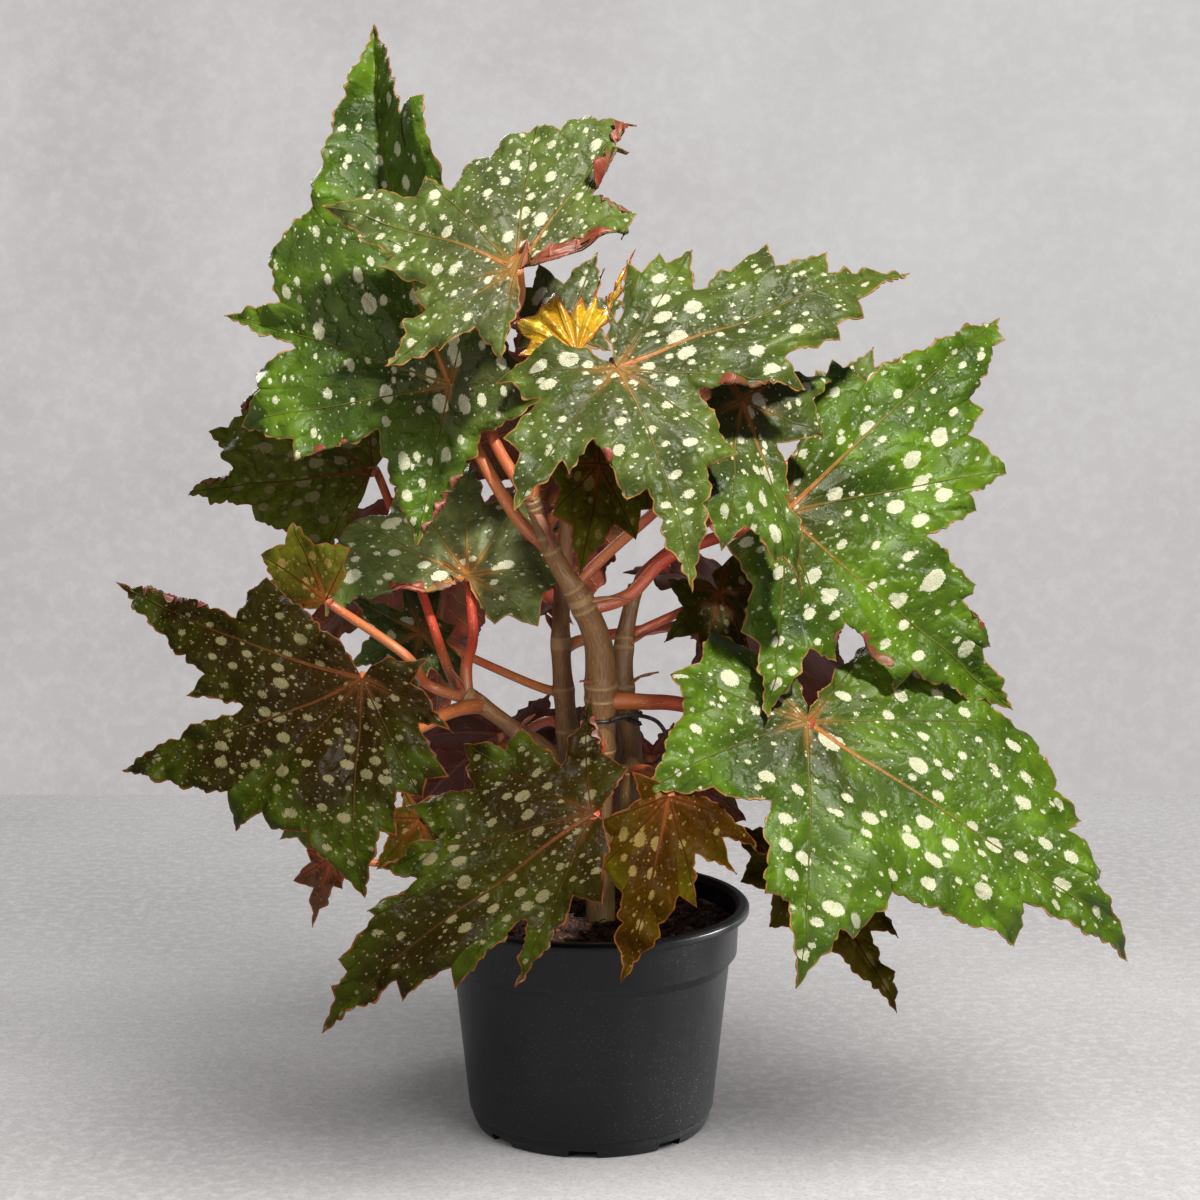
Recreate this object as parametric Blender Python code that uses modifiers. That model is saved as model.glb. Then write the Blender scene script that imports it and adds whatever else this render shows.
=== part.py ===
"""Potted begonia: a black nursery pot, its soil, four canes with their leaf stalks, and the leaf blades.

The origin is the middle of the pot's foot on the ground. +Z is up and the plant's best side looks to -Y.
Sizes in this file are millimetres, and MM turns them into metres.
"""

import math
import random

import bmesh
import bpy
from mathutils import Matrix, Vector

MM = 0.001
GAP = 0.3  # clearance between pieces that rest on each other

# Pot
RIM_RADIUS = 85.0
POT_HEIGHT = 122.0
BAND_RADIUS = 78.5
BAND_BOTTOM = 95.0
BODY_TOP_RADIUS = 74.5
BODY_TOP = 90.0
STEP_RADIUS = 66.2
STEP_HEIGHT = 10.0
FOOT_RADIUS = 62.5
LIP_BOTTOM = 116.8
WALL = 1.6
FLOOR_HEIGHT = 6.0
FOOT_PAD_RADIUS = 14.0
NOTCH_COUNT = 8
NOTCH_WIDTH = 15.0
NOTCH_HEIGHT = 3.2
NOTCH_DEPTH = 12.0
NOTCH_TURN = -4.0
DRAIN_RADIUS = 5.0
DRAIN_CIRCLE = 36.0
DRAIN_COUNT = 6
DRAIN_SIDES = 12
POT_SIDES = 40

# Soil
SOIL_TOP = 110.0
SOIL_LUMP = 2.0
SOIL_RINGS = (0.78, 0.52, 0.26)  # where its top has rings of lumps, as shares of its radius
CANE_HOLE_SIDES = 16
CANE_HOLE_DEPTH = 80.0
INNER_WALL = (
    (FOOT_RADIUS - 2, FLOOR_HEIGHT), (STEP_RADIUS - WALL, STEP_HEIGHT + 2.0),
    (BODY_TOP_RADIUS - WALL, BODY_TOP + 1.0), (BAND_RADIUS - WALL, BAND_BOTTOM + 1.0),
    (BAND_RADIUS + 0.6 - WALL, SOIL_TOP))

# Leaf blades
BLADE = 0.8
CUP = 0.0004  # how far a blade curls back, per square millimetre of reach
PUFF = 2.2  # how far the blade rises between its ribs
RIB_REACH = 9.0  # distance from a rib at which most of that rise is reached
BELLY = 0.04  # how far a lobe's side swells, as a share of its length
TOOTH_PITCH = 20.0
TOOTH_HEIGHT = 3.0
TOOTH_TIP = 0.65  # where in its own stretch of margin a tooth has its tip
STALK_REST = BLADE / 2 + GAP
STALK_LEAD = 24.0  # how far a long stalk runs straight at both its ends
CANE_SIDES = 8
STALK_SIDES = 6

# A bract is a plate with its width at its root, middle and tip, as shares of the root's
BRACT_WIDTHS = (1.0, 1.2, 0.0)
BRACT_ARCH = 0.1  # how far its middle stands up, as a share of its length
BRACT_FOLD = 0.4  # how far its sides fold back, as a share of their width

LEAF_GREEN = (0.07, 0.13, 0.035)
LEAF_DARK = (0.035, 0.055, 0.02)
LEAF_OLIVE = (0.12, 0.085, 0.03)
LEAF_GOLD = (0.55, 0.35, 0.05)
LEAF_RED = (0.13, 0.05, 0.035)
CANE_BROWN = (0.16, 0.09, 0.035)
CANE_GREEN = (0.13, 0.11, 0.04)
WIRE_BLACK = (0.02, 0.015, 0.012)
POT_BLACK = (0.03, 0.03, 0.032)
SOIL_BROWN = (0.035, 0.017, 0.01)

# A blade has its joint (x, y, z), where its stalk meets it, its facing (turn to the right and tilt to the
# sky, in degrees), its colour and its outline. The outline runs clockwise as seen from the front, from the
# base notch, notch and lobe tip in turn, and ends on a notch. Each point is a clock bearing in degrees and
# a reach from the joint, and a tip adds how far it bends to the front.
LEAVES = {
    "leaf_top_left": ((-74, 5, 399), (-8, 14), LEAF_GREEN, (
        (145, 30), (189, 87, 6), (237, 44), (243, 91, 4), (250, 88), (260, 119, -14), (268, 102),
        (274, 110, -8), (283, 87), (287, 134, -12), (295, 103), (304, 122, -6), (321, 119),
        (345, 208, -4), (349, 142), (355, 147, 0), (357, 90), (369, 80, 0), (391, 35), (458, 52, 0),
        (505, 30))),
    "leaf_top_centre": ((-37, -42, 461), (-4, 30), LEAF_GREEN, (
        (172, 6), (186, 51, 4), (211, 38), (219, 59, 6), (223, 56), (229, 84, 8), (245, 50),
        (255, 54, 4), (262, 46), (270, 70, 4), (279, 65), (283, 85, 2), (285, 83), (290, 109, 6),
        (309, 70), (318, 75, -2), (322, 59), (340, 73, -4), (345, 70), (364, 88, -6), (373, 83),
        (377, 101, -8), (383, 96), (391, 110, -12), (394, 84), (396, 91, -10), (400, 56),
        (420, 68, -6), (426, 60), (430, 60, -8), (446, 4))),
    "leaf_centre_right": ((13, -95, 415), (4, 32), LEAF_GREEN, (
        (-18, 7), (-5, 40, 0), (2, 24), (7, 62, -2), (15, 54), (20, 69, -2), (24, 65), (30, 82, -4),
        (42, 60), (47, 108, -4), (55, 99), (58, 128, -6), (63, 121), (66, 169, -12), (71, 130),
        (75, 130, -4), (77, 113), (80, 114, -4), (84, 84), (93, 94, -4), (105, 41), (129, 73, -2),
        (141, 66), (164, 118, -12), (169, 64), (178, 68, -6), (199, 40), (205, 59, -4), (210, 56),
        (216, 88, -10), (228, 65), (237, 67, -4), (247, 41), (269, 59, -6), (279, 44),
        (297, 35, -2), (312, 7))),
    "leaf_under_centre": ((76, -58, 396), (14, 28), LEAF_GREEN, (
        (19, 16), (74, 55, -6), (89, 37), (114, 46, -4), (142, 27), (157, 53, -2), (161, 52),
        (167, 101, -14), (174, 85), (177, 87, -6), (188, 70), (195, 82, -8), (206, 68),
        (243, 42, -4), (280, 16), (342, 32, -6), (379, 16))),
    "leaf_right": ((99, -40, 337), (16, 20), LEAF_GREEN, (
        (-2, 9), (25, 92, -4), (38, 88), (53, 185, -14), (62, 129), (66, 134, -4), (70, 114),
        (82, 129, -8), (87, 100), (91, 107, -4), (103, 75), (112, 110, -8), (119, 103),
        (124, 131, -8), (127, 125), (131, 161, -9), (144, 104), (150, 107, -6), (156, 64),
        (164, 80, -2), (176, 71), (190, 106, -4), (196, 69), (205, 65, -4), (210, 44),
        (245, 33, -8), (262, 7))),
    "leaf_lower_right": ((110, -62, 233), (16, 32), LEAF_GREEN, (
        (22, 9), (45, 64, -4), (80, 86), (95, 129, -6), (100, 129), (104, 143, -6), (108, 138),
        (111, 159, -8), (116, 149), (119, 175, -10), (123, 171), (127, 212, -20), (135, 143),
        (140, 155, -12), (162, 96), (176, 112, -6), (181, 109), (190, 134, -10), (195, 96),
        (203, 95, -6), (213, 48), (233, 64, 3), (240, 64), (252, 92, -6), (278, 64), (296, 73, -4),
        (306, 62), (327, 71, -4), (335, 42), (354, 46, -2), (370, 9))),
    "leaf_low_right": ((39, -92, 201), (4, 28), LEAF_OLIVE, (
        (86, 12), (119, 59, -6), (131, 34), (139, 51, -6), (158, 32), (167, 56, -6), (176, 50),
        (196, 95, -6), (207, 55), (224, 49, -2), (237, 34), (251, 37, -2), (268, 14), (305, 22, 0),
        (330, 8))),
    "leaf_low_centre": ((1, -104, 195), (-8, 34), LEAF_DARK, (
        (122, 7), (170, 46, -4), (188, 43), (200, 94, -6), (208, 62), (215, 109, -8), (218, 103),
        (223, 130, -8), (226, 126), (230, 170, -14), (234, 143), (237, 144, -6), (240, 118),
        (243, 121, -4), (245, 92), (254, 110, -6), (259, 78), (271, 96, -6), (281, 62), (298, 79, -4),
        (305, 58), (319, 62, -4), (325, 31), (354, 64, -4), (364, 33), (390, 31, -4), (410, 7))),
    "leaf_left": ((-113, -98, 262), (-14, 26), LEAF_DARK, (
        (34, 8), (71, 35, -4), (93, 26), (116, 53, -6), (123, 37), (133, 66, -6), (141, 62),
        (147, 68, -6), (155, 62), (161, 81, -6), (165, 79), (173, 108, -10), (191, 81), (205, 86, -6),
        (210, 81), (218, 98, -8), (225, 86), (250, 139, -14), (254, 62), (263, 94, -4), (269, 83),
        (289, 157, -12), (292, 77), (311, 80, -4), (326, 7))),
    "leaf_left_upper": ((-123, 90, 344), (-18, 22), LEAF_DARK, (
        (189, 18), (207, 58, -4), (228, 56), (248, 76, -4), (253, 74), (264, 121, -12), (270, 86),
        (282, 111, -6), (290, 90), (301, 98, -4), (310, 63), (339, 76, 0), (394, 14))),
    "leaf_left_small": ((-140, 0, 286), (-16, 26), LEAF_OLIVE, (
        (216, 7), (270, 48, -4), (288, 35), (300, 52, -6), (316, 42), (327, 53, -4), (339, 32),
        (375, 31, -2), (420, 6))),
    "leaf_mid_left": ((-67, 40, 293), (-4, 36), LEAF_GREEN, (
        (222, 6), (256, 81, -10), (280, 76), (298, 78, -4), (308, 59), (325, 75, -2), (338, 48),
        (357, 74, 0), (370, 43), (386, 69, 0), (416, 36), (446, 50, -2), (465, 43), (484, 47, -6),
        (496, 33), (510, 31, -4), (526, 8))),
    "leaf_golden": ((-7, -25, 418), (0, 20), LEAF_GOLD, (
        (244, 6), (264, 30, 4), (285, 24), (298, 36, 4), (317, 30), (341, 36, -6), (350, 20),
        (365, 31, 4), (371, 24), (376, 50, -6), (383, 27), (388, 64, 2), (404, 12))),
    "leaf_under_olive": ((4, -66, 365), (0, 26), LEAF_OLIVE, (
        (62, 10), (121, 38, -4), (139, 32), (154, 42, -4), (166, 33), (190, 55, -8), (202, 35),
        (222, 34, -4), (236, 23), (272, 27, -2), (310, 12), (350, 22, 0), (422, 10))),
    "leaf_back_top": ((-14, 55, 422), (0, 20), LEAF_GREEN, (
        (206, 6), (256, 28, 0), (283, 22), (310, 41, 0), (326, 32), (340, 43, 0), (358, 30),
        (380, 51, 0), (397, 28), (419, 38, 0), (436, 20), (469, 26, 0), (506, 7))),
    "leaf_back_right": ((134, 75, 369), (15, 20), LEAF_GREEN, (
        (-60, 8), (-13, 35, 0), (9, 30), (31, 54, 0), (38, 44), (47, 62, 0), (66, 37), (97, 56, 0),
        (119, 28), (152, 46, 0), (180, 12))),
    "leaf_mid_dark": ((68, 15, 288), (4, 24), LEAF_DARK, (
        (-20, 10), (31, 30, 0), (51, 18), (89, 31, 0), (128, 17), (159, 42, -4), (174, 26),
        (194, 40, -4), (208, 26), (228, 40, -2), (248, 21), (286, 28, 0), (318, 8))),
    "leaf_low_right_back": ((113, -25, 156), (10, 26), LEAF_OLIVE, (
        (32, 10), (61, 36, 0), (101, 25), (136, 67, -6), (144, 54), (151, 97, -14), (179, 42),
        (209, 43, -8), (224, 30), (248, 38, -6), (267, 29), (293, 39, -2), (325, 11))),
    "leaf_low_left_small": ((-134, -55, 160), (-10, 20), LEAF_RED, (
        (42, 7), (91, 17, 0), (124, 9), (158, 17, -4), (170, 15), (194, 37, -6), (207, 18),
        (238, 24, -4), (256, 11), (284, 14, 0), (312, 8), (360, 17, 0), (402, 7))),
    "leaf_low_left_back": ((-146, -30, 180), (-18, 24), LEAF_GREEN, (
        (70, 12), (122, 28, 0), (150, 13), (178, 23, -4), (201, 17), (228, 25, -4), (244, 13),
        (264, 29, -2), (284, 13), (306, 22, 0), (344, 9), (396, 26, 0), (430, 12))),
    "leaf_mid_low_left": ((-89, -35, 176), (-6, 30), LEAF_OLIVE, (
        (-20, 8), (43, 21, 0), (81, 12), (119, 32, 0), (142, 19), (161, 34, -4), (188, 20),
        (219, 35, -4), (238, 19), (271, 26, -2), (300, 12), (326, 18, 0), (340, 8))),
    "leaf_back_left_mid": ((-96, 85, 254), (-10, 22), LEAF_GREEN, (
        (42, 12), (76, 20, 0), (109, 16), (136, 47, -6), (160, 22), (189, 41, -6), (213, 22),
        (246, 47, -6), (270, 25), (296, 52, -6), (316, 17), (336, 36, -2), (358, 20), (377, 33, -2),
        (402, 12))),
    "leaf_rear_upper": ((-2, 124, 378), (164, 28), LEAF_GREEN, (
        (-14, 8), (26, 74, -4), (46, 52), (68, 96, -8), (86, 62), (112, 118, -10), (136, 72),
        (172, 144, -6), (198, 66), (224, 104, -10), (244, 58), (276, 88, -6), (296, 48),
        (326, 66, -4), (346, 8))),
    "leaf_rear_right": ((94, 112, 266), (132, 30), LEAF_DARK, (
        (-14, 8), (30, 62, -4), (52, 44), (78, 92, -8), (100, 56), (130, 104, -10), (152, 66),
        (186, 134, -18), (208, 60), (236, 88, -10), (258, 46), (288, 70, -6), (308, 40),
        (330, 54, -4), (346, 8))),
    "leaf_rear_left": ((-80, 138, 300), (195, 32), LEAF_GREEN, (
        (-14, 8), (28, 66, -4), (50, 46), (76, 90, -8), (98, 58), (128, 112, -10), (150, 68),
        (180, 140, -18), (204, 62), (232, 98, -10), (254, 50), (286, 80, -6), (306, 42),
        (330, 56, -4), (346, 8))),
    "leaf_rear_low_left": ((-52, 112, 190), (200, 32), LEAF_DARK, (
        (-14, 8), (32, 52, -4), (56, 36), (84, 76, -8), (106, 46), (138, 84, -10), (158, 54),
        (190, 112, -14), (212, 48), (240, 70, -8), (262, 38), (292, 58, -6), (312, 32),
        (332, 44, -4), (346, 8))),
    "leaf_rear_low_right": ((34, 116, 176), (166, 30), LEAF_OLIVE, (
        (-14, 8), (30, 48, -4), (54, 34), (82, 70, -8), (104, 42), (134, 78, -10), (156, 50),
        (186, 104, -14), (208, 46), (236, 66, -8), (258, 36), (290, 54, -6), (310, 30),
        (332, 42, -4), (346, 8))),
}


# A cane has the points of its middle line with its radius there (x, y, z, radius), its stalks and its
# bracts. A stalk has its blade, its root on the cane, the way it sets off, its radius and any points that
# it bends through. A bract has its root, its tip and the radius of its root.
CANES = {
    "cane_main": {
        "colour": CANE_BROWN,
        "line": (
            (5, 4, 51, 8.2), (5, 4, 118, 8.2), (4, 4, 149, 8.4), (3, 3, 182, 8.6), (5, 0, 214, 8.2),
            (5, -2, 245, 8.4), (3, -4, 266, 7.6), (-7, -8, 290, 6.4), (-16, -11, 304, 5.2),
            (-24, -14, 322, 4.6), (-31, -18, 343, 4.0)),
        "stalks": (
            ("leaf_top_left", (-6, -8, 288), (-0.5, 0.1, 0.9), 3.4, ((-40, 6, 330), (-67, 16, 376))),
            ("leaf_top_centre", (-20, -13, 314), (-0.4, 0.2, 0.9), 3.0,
             ((-38, -6, 349), (-53, 10, 376), (-52, 22, 412), (-38, 4, 442))),
            ("leaf_centre_right", (-31, -18, 341), (0.2, -0.1, 1.0), 2.8, ((-14, -44, 392),)),
            ("leaf_golden", (-30, -17, 338), (0.0, 0.3, 1.0), 2.2, ((-22, -2, 385),)),
            ("leaf_under_olive", (-24, -14, 322), (0.3, -0.4, 0.6), 2.2, ()),
            ("leaf_under_centre", (-9, -9, 294), (0.7, 0.1, 0.7), 2.8, ((48, -20, 350),)),
            ("leaf_right", (-3, -6, 282), (1.0, 0.1, 0.3), 3.4, ((44, -4, 311),)),
            ("leaf_lower_right", (5, -1, 232), (1.0, -0.2, 0.0), 4.0, ((50, -20, 233),)),
            ("leaf_low_centre", (4, 1, 205), (0.0, -1.0, 0.2), 3.2, ())),
        "bracts": (
            ((-29, -17, 338), (-19, -27, 316), 2.6), ((-5, -7, 286), (22, -17, 288), 2.4),
            ((5, -1, 240), (-6, -15, 245), 2.6), ((4, 4, 152), (-8, -4, 162), 2.4)),
    },
    "cane_left": {
        "colour": CANE_GREEN,
        "line": (
            (-17, 3, 51, 4.7), (-17, 3, 118, 4.7), (-18, 5, 165, 4.6), (-22, 9, 199, 4.8),
            (-40, 10, 213, 4.4), (-58, 12, 226, 4.6), (-68, 12, 232, 5.4)),
        "stalks": (
            ("leaf_mid_left", (-67, 12, 231), (0.0, 0.2, 1.0), 3.0, ((-64, 26, 262),)),
            ("leaf_left", (-60, 12, 227), (-0.6, -0.8, 0.0), 3.4, ((-98, -52, 226),)),
            ("leaf_left_small", (-66, 12, 230), (-0.8, 0.0, 0.3), 2.6, ((-99, -2, 257),)),
            ("leaf_left_upper", (-68, 12, 232), (-0.4, 0.7, 0.5), 2.6, ((-96, 66, 286),)),
            ("leaf_mid_low_left", (-18, 5, 160), (-1.0, -0.2, 0.1), 2.2, ()),
            ("leaf_low_left_back", (-18, 4, 150), (-1.0, 0.1, 0.2), 2.2, ()),
            ("leaf_low_left_small", (-17, 3, 135), (-1.0, -0.3, 0.1), 2.0, ())),
        "bracts": (
            ((-67, 12, 231), (-76, 4, 250), 2.6), ((-40, 10, 213), (-30, 2, 224), 2.2)),
    },
    "cane_right": {
        "colour": CANE_BROWN,
        "line": (
            (22, 12, 51, 6.4), (22, 12, 118, 6.4), (21, 12, 163, 6.6), (21, 13, 195, 6.8),
            (20, 13, 214, 6.4), (17, 14, 234, 6.2), (18, 18, 262, 5.0), (24, 24, 290, 3.8)),
        "stalks": (
            ("leaf_low_right", (21, 13, 190), (0.4, -0.9, 0.2), 3.0, ((40, -46, 196),)),
            ("leaf_low_right_back", (21, 12, 165), (1.0, -0.1, 0.1), 2.6, ()),
            ("leaf_mid_dark", (18, 18, 262), (0.9, 0.3, 0.4), 2.4, ()),
            ("leaf_back_right", (24, 24, 288), (0.6, 0.4, 0.7), 2.6, ())),
        "bracts": (
            ((18, 18, 258), (40, 8, 268), 2.4), ((17, 14, 236), (36, 6, 246), 2.2)),
    },
    "cane_back": {
        "colour": CANE_GREEN,
        "line": (
            (-6, 44, 51, 6.0), (-6, 44, 118, 6.0), (-10, 48, 150, 6.2), (-13, 51, 200, 6.2),
            (-17, 56, 255, 5.2), (-14, 60, 310, 4.4), (-12, 62, 352, 3.4)),
        "stalks": (
            ("leaf_back_top", (-12, 62, 350), (0.0, 0.5, 1.0), 2.2, ()),
            ("leaf_rear_upper", (-13, 60, 330), (0.1, 0.4, 0.9), 2.8, ()),
            ("leaf_rear_right", (-16, 56, 250), (0.9, 0.5, 0.2), 3.0, ()),
            ("leaf_rear_left", (-16, 58, 290), (-0.8, 0.3, 0.4), 2.8, ()),
            ("leaf_rear_low_left", (-13, 51, 205), (-0.6, 0.6, 0.1), 2.6, ()),
            ("leaf_rear_low_right", (-11, 49, 180), (0.7, 0.7, 0.1), 2.6, ()),
            ("leaf_back_left_mid", (-15, 53, 225), (-0.9, 0.4, 0.2), 2.4, ())),
        "bracts": (
            ((-17, 56, 255), (-26, 68, 268), 2.4), ((-13, 51, 205), (-2, 62, 214), 2.4)),
    },
}

TIE_HEIGHT = 222.0
TIE_WIRE = 1.1
TIE_STEPS = 24
TIED = ((5.0, -0.6, 8.3), (18.8, 13.5, 6.4))  # the two canes at that height: x, y and radius


def leaf_frame(turn, tilt):
    """Right, up and front of a blade that is turned to the right and tilted to the sky."""
    across, up = math.radians(turn), math.radians(tilt)
    right = Vector((math.cos(across), math.sin(across), 0))
    front = Vector((math.sin(across) * math.cos(up), -math.cos(across) * math.cos(up), math.sin(up)))
    return right, front.cross(right), front


def clock(bearing, reach):
    """The point of a blade's plane at a clock bearing and a reach from the joint."""
    angle = math.radians(bearing)
    return Vector((reach * math.sin(angle), reach * math.cos(angle)))


def lobes_of(outline):
    """Each lobe as its notch, tip, next notch, bend, and half the opening angle at both notches."""
    points = [clock(*point[:2]) for point in outline]
    last = len(points) - 1
    lobes = []
    for tip in range(1, last, 2):
        openings = []
        for notch, step in ((tip - 1, -1), (tip + 1, 1)):
            other = notch + step
            if not 0 <= other <= last:
                other = last - 1 if step < 0 else 1
            sides = points[tip] - points[notch], points[other] - points[notch]
            openings.append(sides[0].angle(sides[1]) / 2)
        lobes.append((points[tip - 1], points[tip], points[tip + 1], outline[tip][2], openings))
    return lobes


def rib_point(lobe, share):
    """A lobe's rib leaves the joint between the notches and bends towards the tip."""
    notch, tip, far_notch = lobe[:3]
    between = notch.normalized() + far_notch.normalized()
    wide = notch.angle(far_notch) > math.radians(150)
    way = tip.normalized() if wide else between.normalized()
    return 2 * share * (1 - share) * way * tip.length / 2 + share * share * tip


def rib_base(lobe):
    """The share of the rib at which the lobe leaves the body of the blade."""
    notch, tip, far_notch = lobe[:3]
    depth = min(point.length * math.cos(min(1.2, point.angle(tip))) for point in (notch, far_notch))
    return max(0.2, min(0.85, 0.9 * depth / tip.length))


def tooth_count(lobe):
    side = ((lobe[1] - lobe[0]).length + (lobe[1] - lobe[2]).length) / 2
    return int(side / TOOTH_PITCH)


def rows_of(lobe):
    """The shares of a lobe's side at which it has a tooth's foot or tip."""
    teeth = tooth_count(lobe)
    if not teeth:
        return [0.0, 0.45, 1.0]
    rows = [0.0]
    for tooth in range(teeth):
        rows += [(tooth + TOOTH_TIP) / (teeth + 1), (tooth + 1) / (teeth + 1)]
    return rows + [1.0]


def side_point(lobe, side, u, row):
    """A lobe's side swells from the notch and carries its teeth, whose tips are the odd rows."""
    start = lobe[0] if side < 0 else lobe[2]
    opening = lobe[4][0 if side < 0 else 1]
    run = lobe[1] - start
    out = Vector((run.y, -run.x)).normalized() * side
    belly = min(BELLY, math.tan(0.6 * opening) / 6.75) * run.length
    swell = belly * 6.75 * u * (1 - u) ** 2
    tooth = 0.0
    if tooth_count(lobe) and row % 2 and u < 1:
        tooth = min(TOOTH_HEIGHT, 0.12 * run.length, 0.5 * u * run.length * math.sin(opening))
    return lobe[1] - run * (1 - u) + out * (swell + tooth)


def rib_lines(lobes, steps=10):
    return [[rib_point(lobe, step / steps) for step in range(steps + 1)] for lobe in lobes]


def distance_to_ribs(point, lines):
    best = 1e9
    for line in lines:
        for start, end in zip(line, line[1:]):
            run = end - start
            share = max(0.0, min(1.0, (point - start).dot(run) / run.length_squared))
            best = min(best, (point - start - run * share).length)
    return best


def blade_height(point, bend, u, lines):
    """How far a point of the blade lies in front of the plane through its joint."""
    near = distance_to_ribs(point, lines) / RIB_REACH
    return PUFF * (1 - math.exp(-near * near)) - CUP * point.length_squared + bend * u * u


def add_lobe(mesh, lobe, lines):
    """One lobe: a grid from the joint, whose middle line is the rib and whose rows end on the sides."""
    rows = rows_of(lobe)
    base = rib_base(lobe)
    grid = bmesh.ops.create_grid(mesh, x_segments=2, y_segments=len(rows), size=1)["verts"]
    for vertex in grid:
        side = round(vertex.co.x)
        row = round((vertex.co.y + 1) / 2 * len(rows)) - 1
        u = rows[max(row, 0)]
        if row < 0:
            point = Vector((0, 0))
        elif side:
            point = side_point(lobe, side, u, row)
        else:
            point = rib_point(lobe, base + (1 - base) * u)
        vertex.co = (*(point * MM), blade_height(point, lobe[3], u, lines) * MM)


def leaf_blade(name):
    """A blade is modelled with its front to +Z and its joint at the origin, and then placed."""
    joint, face, colour, outline = LEAVES[name]
    lobes = lobes_of(outline)
    lines = rib_lines(lobes)
    mesh = bmesh.new()
    for lobe in lobes:
        add_lobe(mesh, lobe, lines)
    bmesh.ops.remove_doubles(mesh, verts=mesh.verts, dist=0.05 * MM)
    bmesh.ops.triangulate(mesh, faces=mesh.faces, quad_method="SHORT_EDGE")
    blade = add_object(name, mesh, colour, 0.45)
    skin = blade.modifiers.new("thickness", "SOLIDIFY")
    skin.thickness = BLADE * MM
    skin.offset = 0
    turn = Matrix(leaf_frame(*face)).transposed().to_4x4()
    blade.matrix_world = Matrix.Translation(Vector(joint) * MM) @ turn


def tube(name, line, sides, ring=False):
    """A round rod along a line of (x, y, z, radius), as a closed mesh object."""
    curve = bpy.data.curves.new(name, "CURVE")
    curve.dimensions = "3D"
    curve.bevel_depth = MM
    curve.bevel_resolution = sides // 2 - 2
    curve.use_fill_caps = not ring
    spline = curve.splines.new("POLY")
    spline.points.add(len(line) - 1)
    spline.use_cyclic_u = ring
    for point, (x, y, z, radius) in zip(spline.points, line):
        point.co = (x * MM, y * MM, z * MM, 1)
        point.radius = radius
    rod = bpy.data.objects.new(name, curve)
    PARTS.objects.link(rod)
    view = bpy.context.evaluated_depsgraph_get()
    data = bpy.data.meshes.new_from_object(rod.evaluated_get(view))
    bpy.data.objects.remove(rod, do_unlink=True)
    mesh = bmesh.new()
    mesh.from_mesh(data)
    bmesh.ops.remove_doubles(mesh, verts=mesh.verts, dist=0.01 * MM)
    mesh.to_mesh(data)
    mesh.free()
    return bpy.data.objects.new(name, data)


def smooth_run(points, steps):
    """Points along the Catmull-Rom curve through the given ones."""
    ends = [points[0] * 2 - points[1], *points, points[-1] * 2 - points[-2]]
    run = []
    for before, start, end, after in zip(ends, ends[1:], ends[2:], ends[3:]):
        for step in range(steps):
            t = step / steps
            run.append((2 * start + (end - before) * t + (2 * before - 5 * start + 4 * end - after) * t * t
                        + (3 * start - before - 3 * end + after) * t ** 3) / 2)
    return [*run, points[-1]]


def stalk_line(leaf, root, way, radius, via):
    """A stalk leaves the cane, bends through its via points and meets the blade's back square on."""
    joint, face = LEAVES[leaf][:2]
    front = leaf_frame(*face)[2]
    end = Vector(joint) - front * STALK_REST
    root = Vector(root)
    lead = min(STALK_LEAD, (end - root).length / 4)
    points = [root, root + Vector(way).normalized() * lead, *map(Vector, via), end - front * lead / 2]
    run = smooth_run(points, 2 if via else 3)
    share = [step / len(run) for step in range(len(run))]
    line = [(*point, radius * (1.15 - 0.3 * at)) for point, at in zip(run, share)]
    return [*line, (*(end - front * lead / 4), radius * 0.85), (*end, radius)]


def bract(name, root, tip, width):
    """A papery bract: a pointed plate, folded along its middle, that bends up to its tip."""
    root, tip = Vector(root), Vector(tip)
    run = tip - root
    across = run.cross(Vector((0, 0, 1))).normalized()
    fold = across.cross(run).normalized()
    widths = [width * share for share in BRACT_WIDTHS]
    mesh = bmesh.new()
    grid = bmesh.ops.create_grid(mesh, x_segments=2, y_segments=2, size=1)["verts"]
    for vertex in grid:
        side, row = round(vertex.co.x), round(vertex.co.y + 1)
        lift = BRACT_ARCH * run.length * (row == 1) - BRACT_FOLD * widths[row] * abs(side)
        vertex.co = (root + run * row / 2 + across * side * widths[row] + fold * lift) * MM
    bmesh.ops.remove_doubles(mesh, verts=mesh.verts, dist=0.01 * MM)
    bmesh.ops.triangulate(mesh, faces=mesh.faces)
    data = bpy.data.meshes.new(name)
    mesh.to_mesh(data)
    mesh.free()
    plate = bpy.data.objects.new(name, data)
    skin = plate.modifiers.new("thickness", "SOLIDIFY")
    skin.thickness = BLADE * MM
    skin.offset = 0
    return plate


def shade_round(data):
    data.shade_smooth()
    data.set_sharp_from_angle(angle=math.radians(50))


def cane(name):
    """A cane with its stalks and bracts grown together."""
    spec = CANES[name]
    stem = tube(name, spec["line"], CANE_SIDES)
    twigs = make_collection(name + "_twigs")
    for number, stalk in enumerate(spec["stalks"]):
        twigs.objects.link(tube(f"{name}_stalk_{number}", stalk_line(*stalk), STALK_SIDES))
    for number, plate in enumerate(spec["bracts"]):
        twigs.objects.link(bract(f"{name}_bract_{number}", *plate))
    PARTS.objects.link(stem)
    grown = stem.modifiers.new("grown_together", "BOOLEAN")
    grown.operation = "UNION"
    grown.operand_type = "COLLECTION"
    grown.collection = twigs
    grown.solver = "EXACT"
    view = bpy.context.evaluated_depsgraph_get()
    data = bpy.data.meshes.new_from_object(stem.evaluated_get(view))
    stem.modifiers.clear()
    stem.data = data
    for twig in list(twigs.objects):
        bpy.data.objects.remove(twig, do_unlink=True)
    bpy.data.collections.remove(twigs)
    data.materials.clear()
    data.materials.append(material(name + "_finish", spec["colour"], 0.5))
    shade_round(data)


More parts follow.
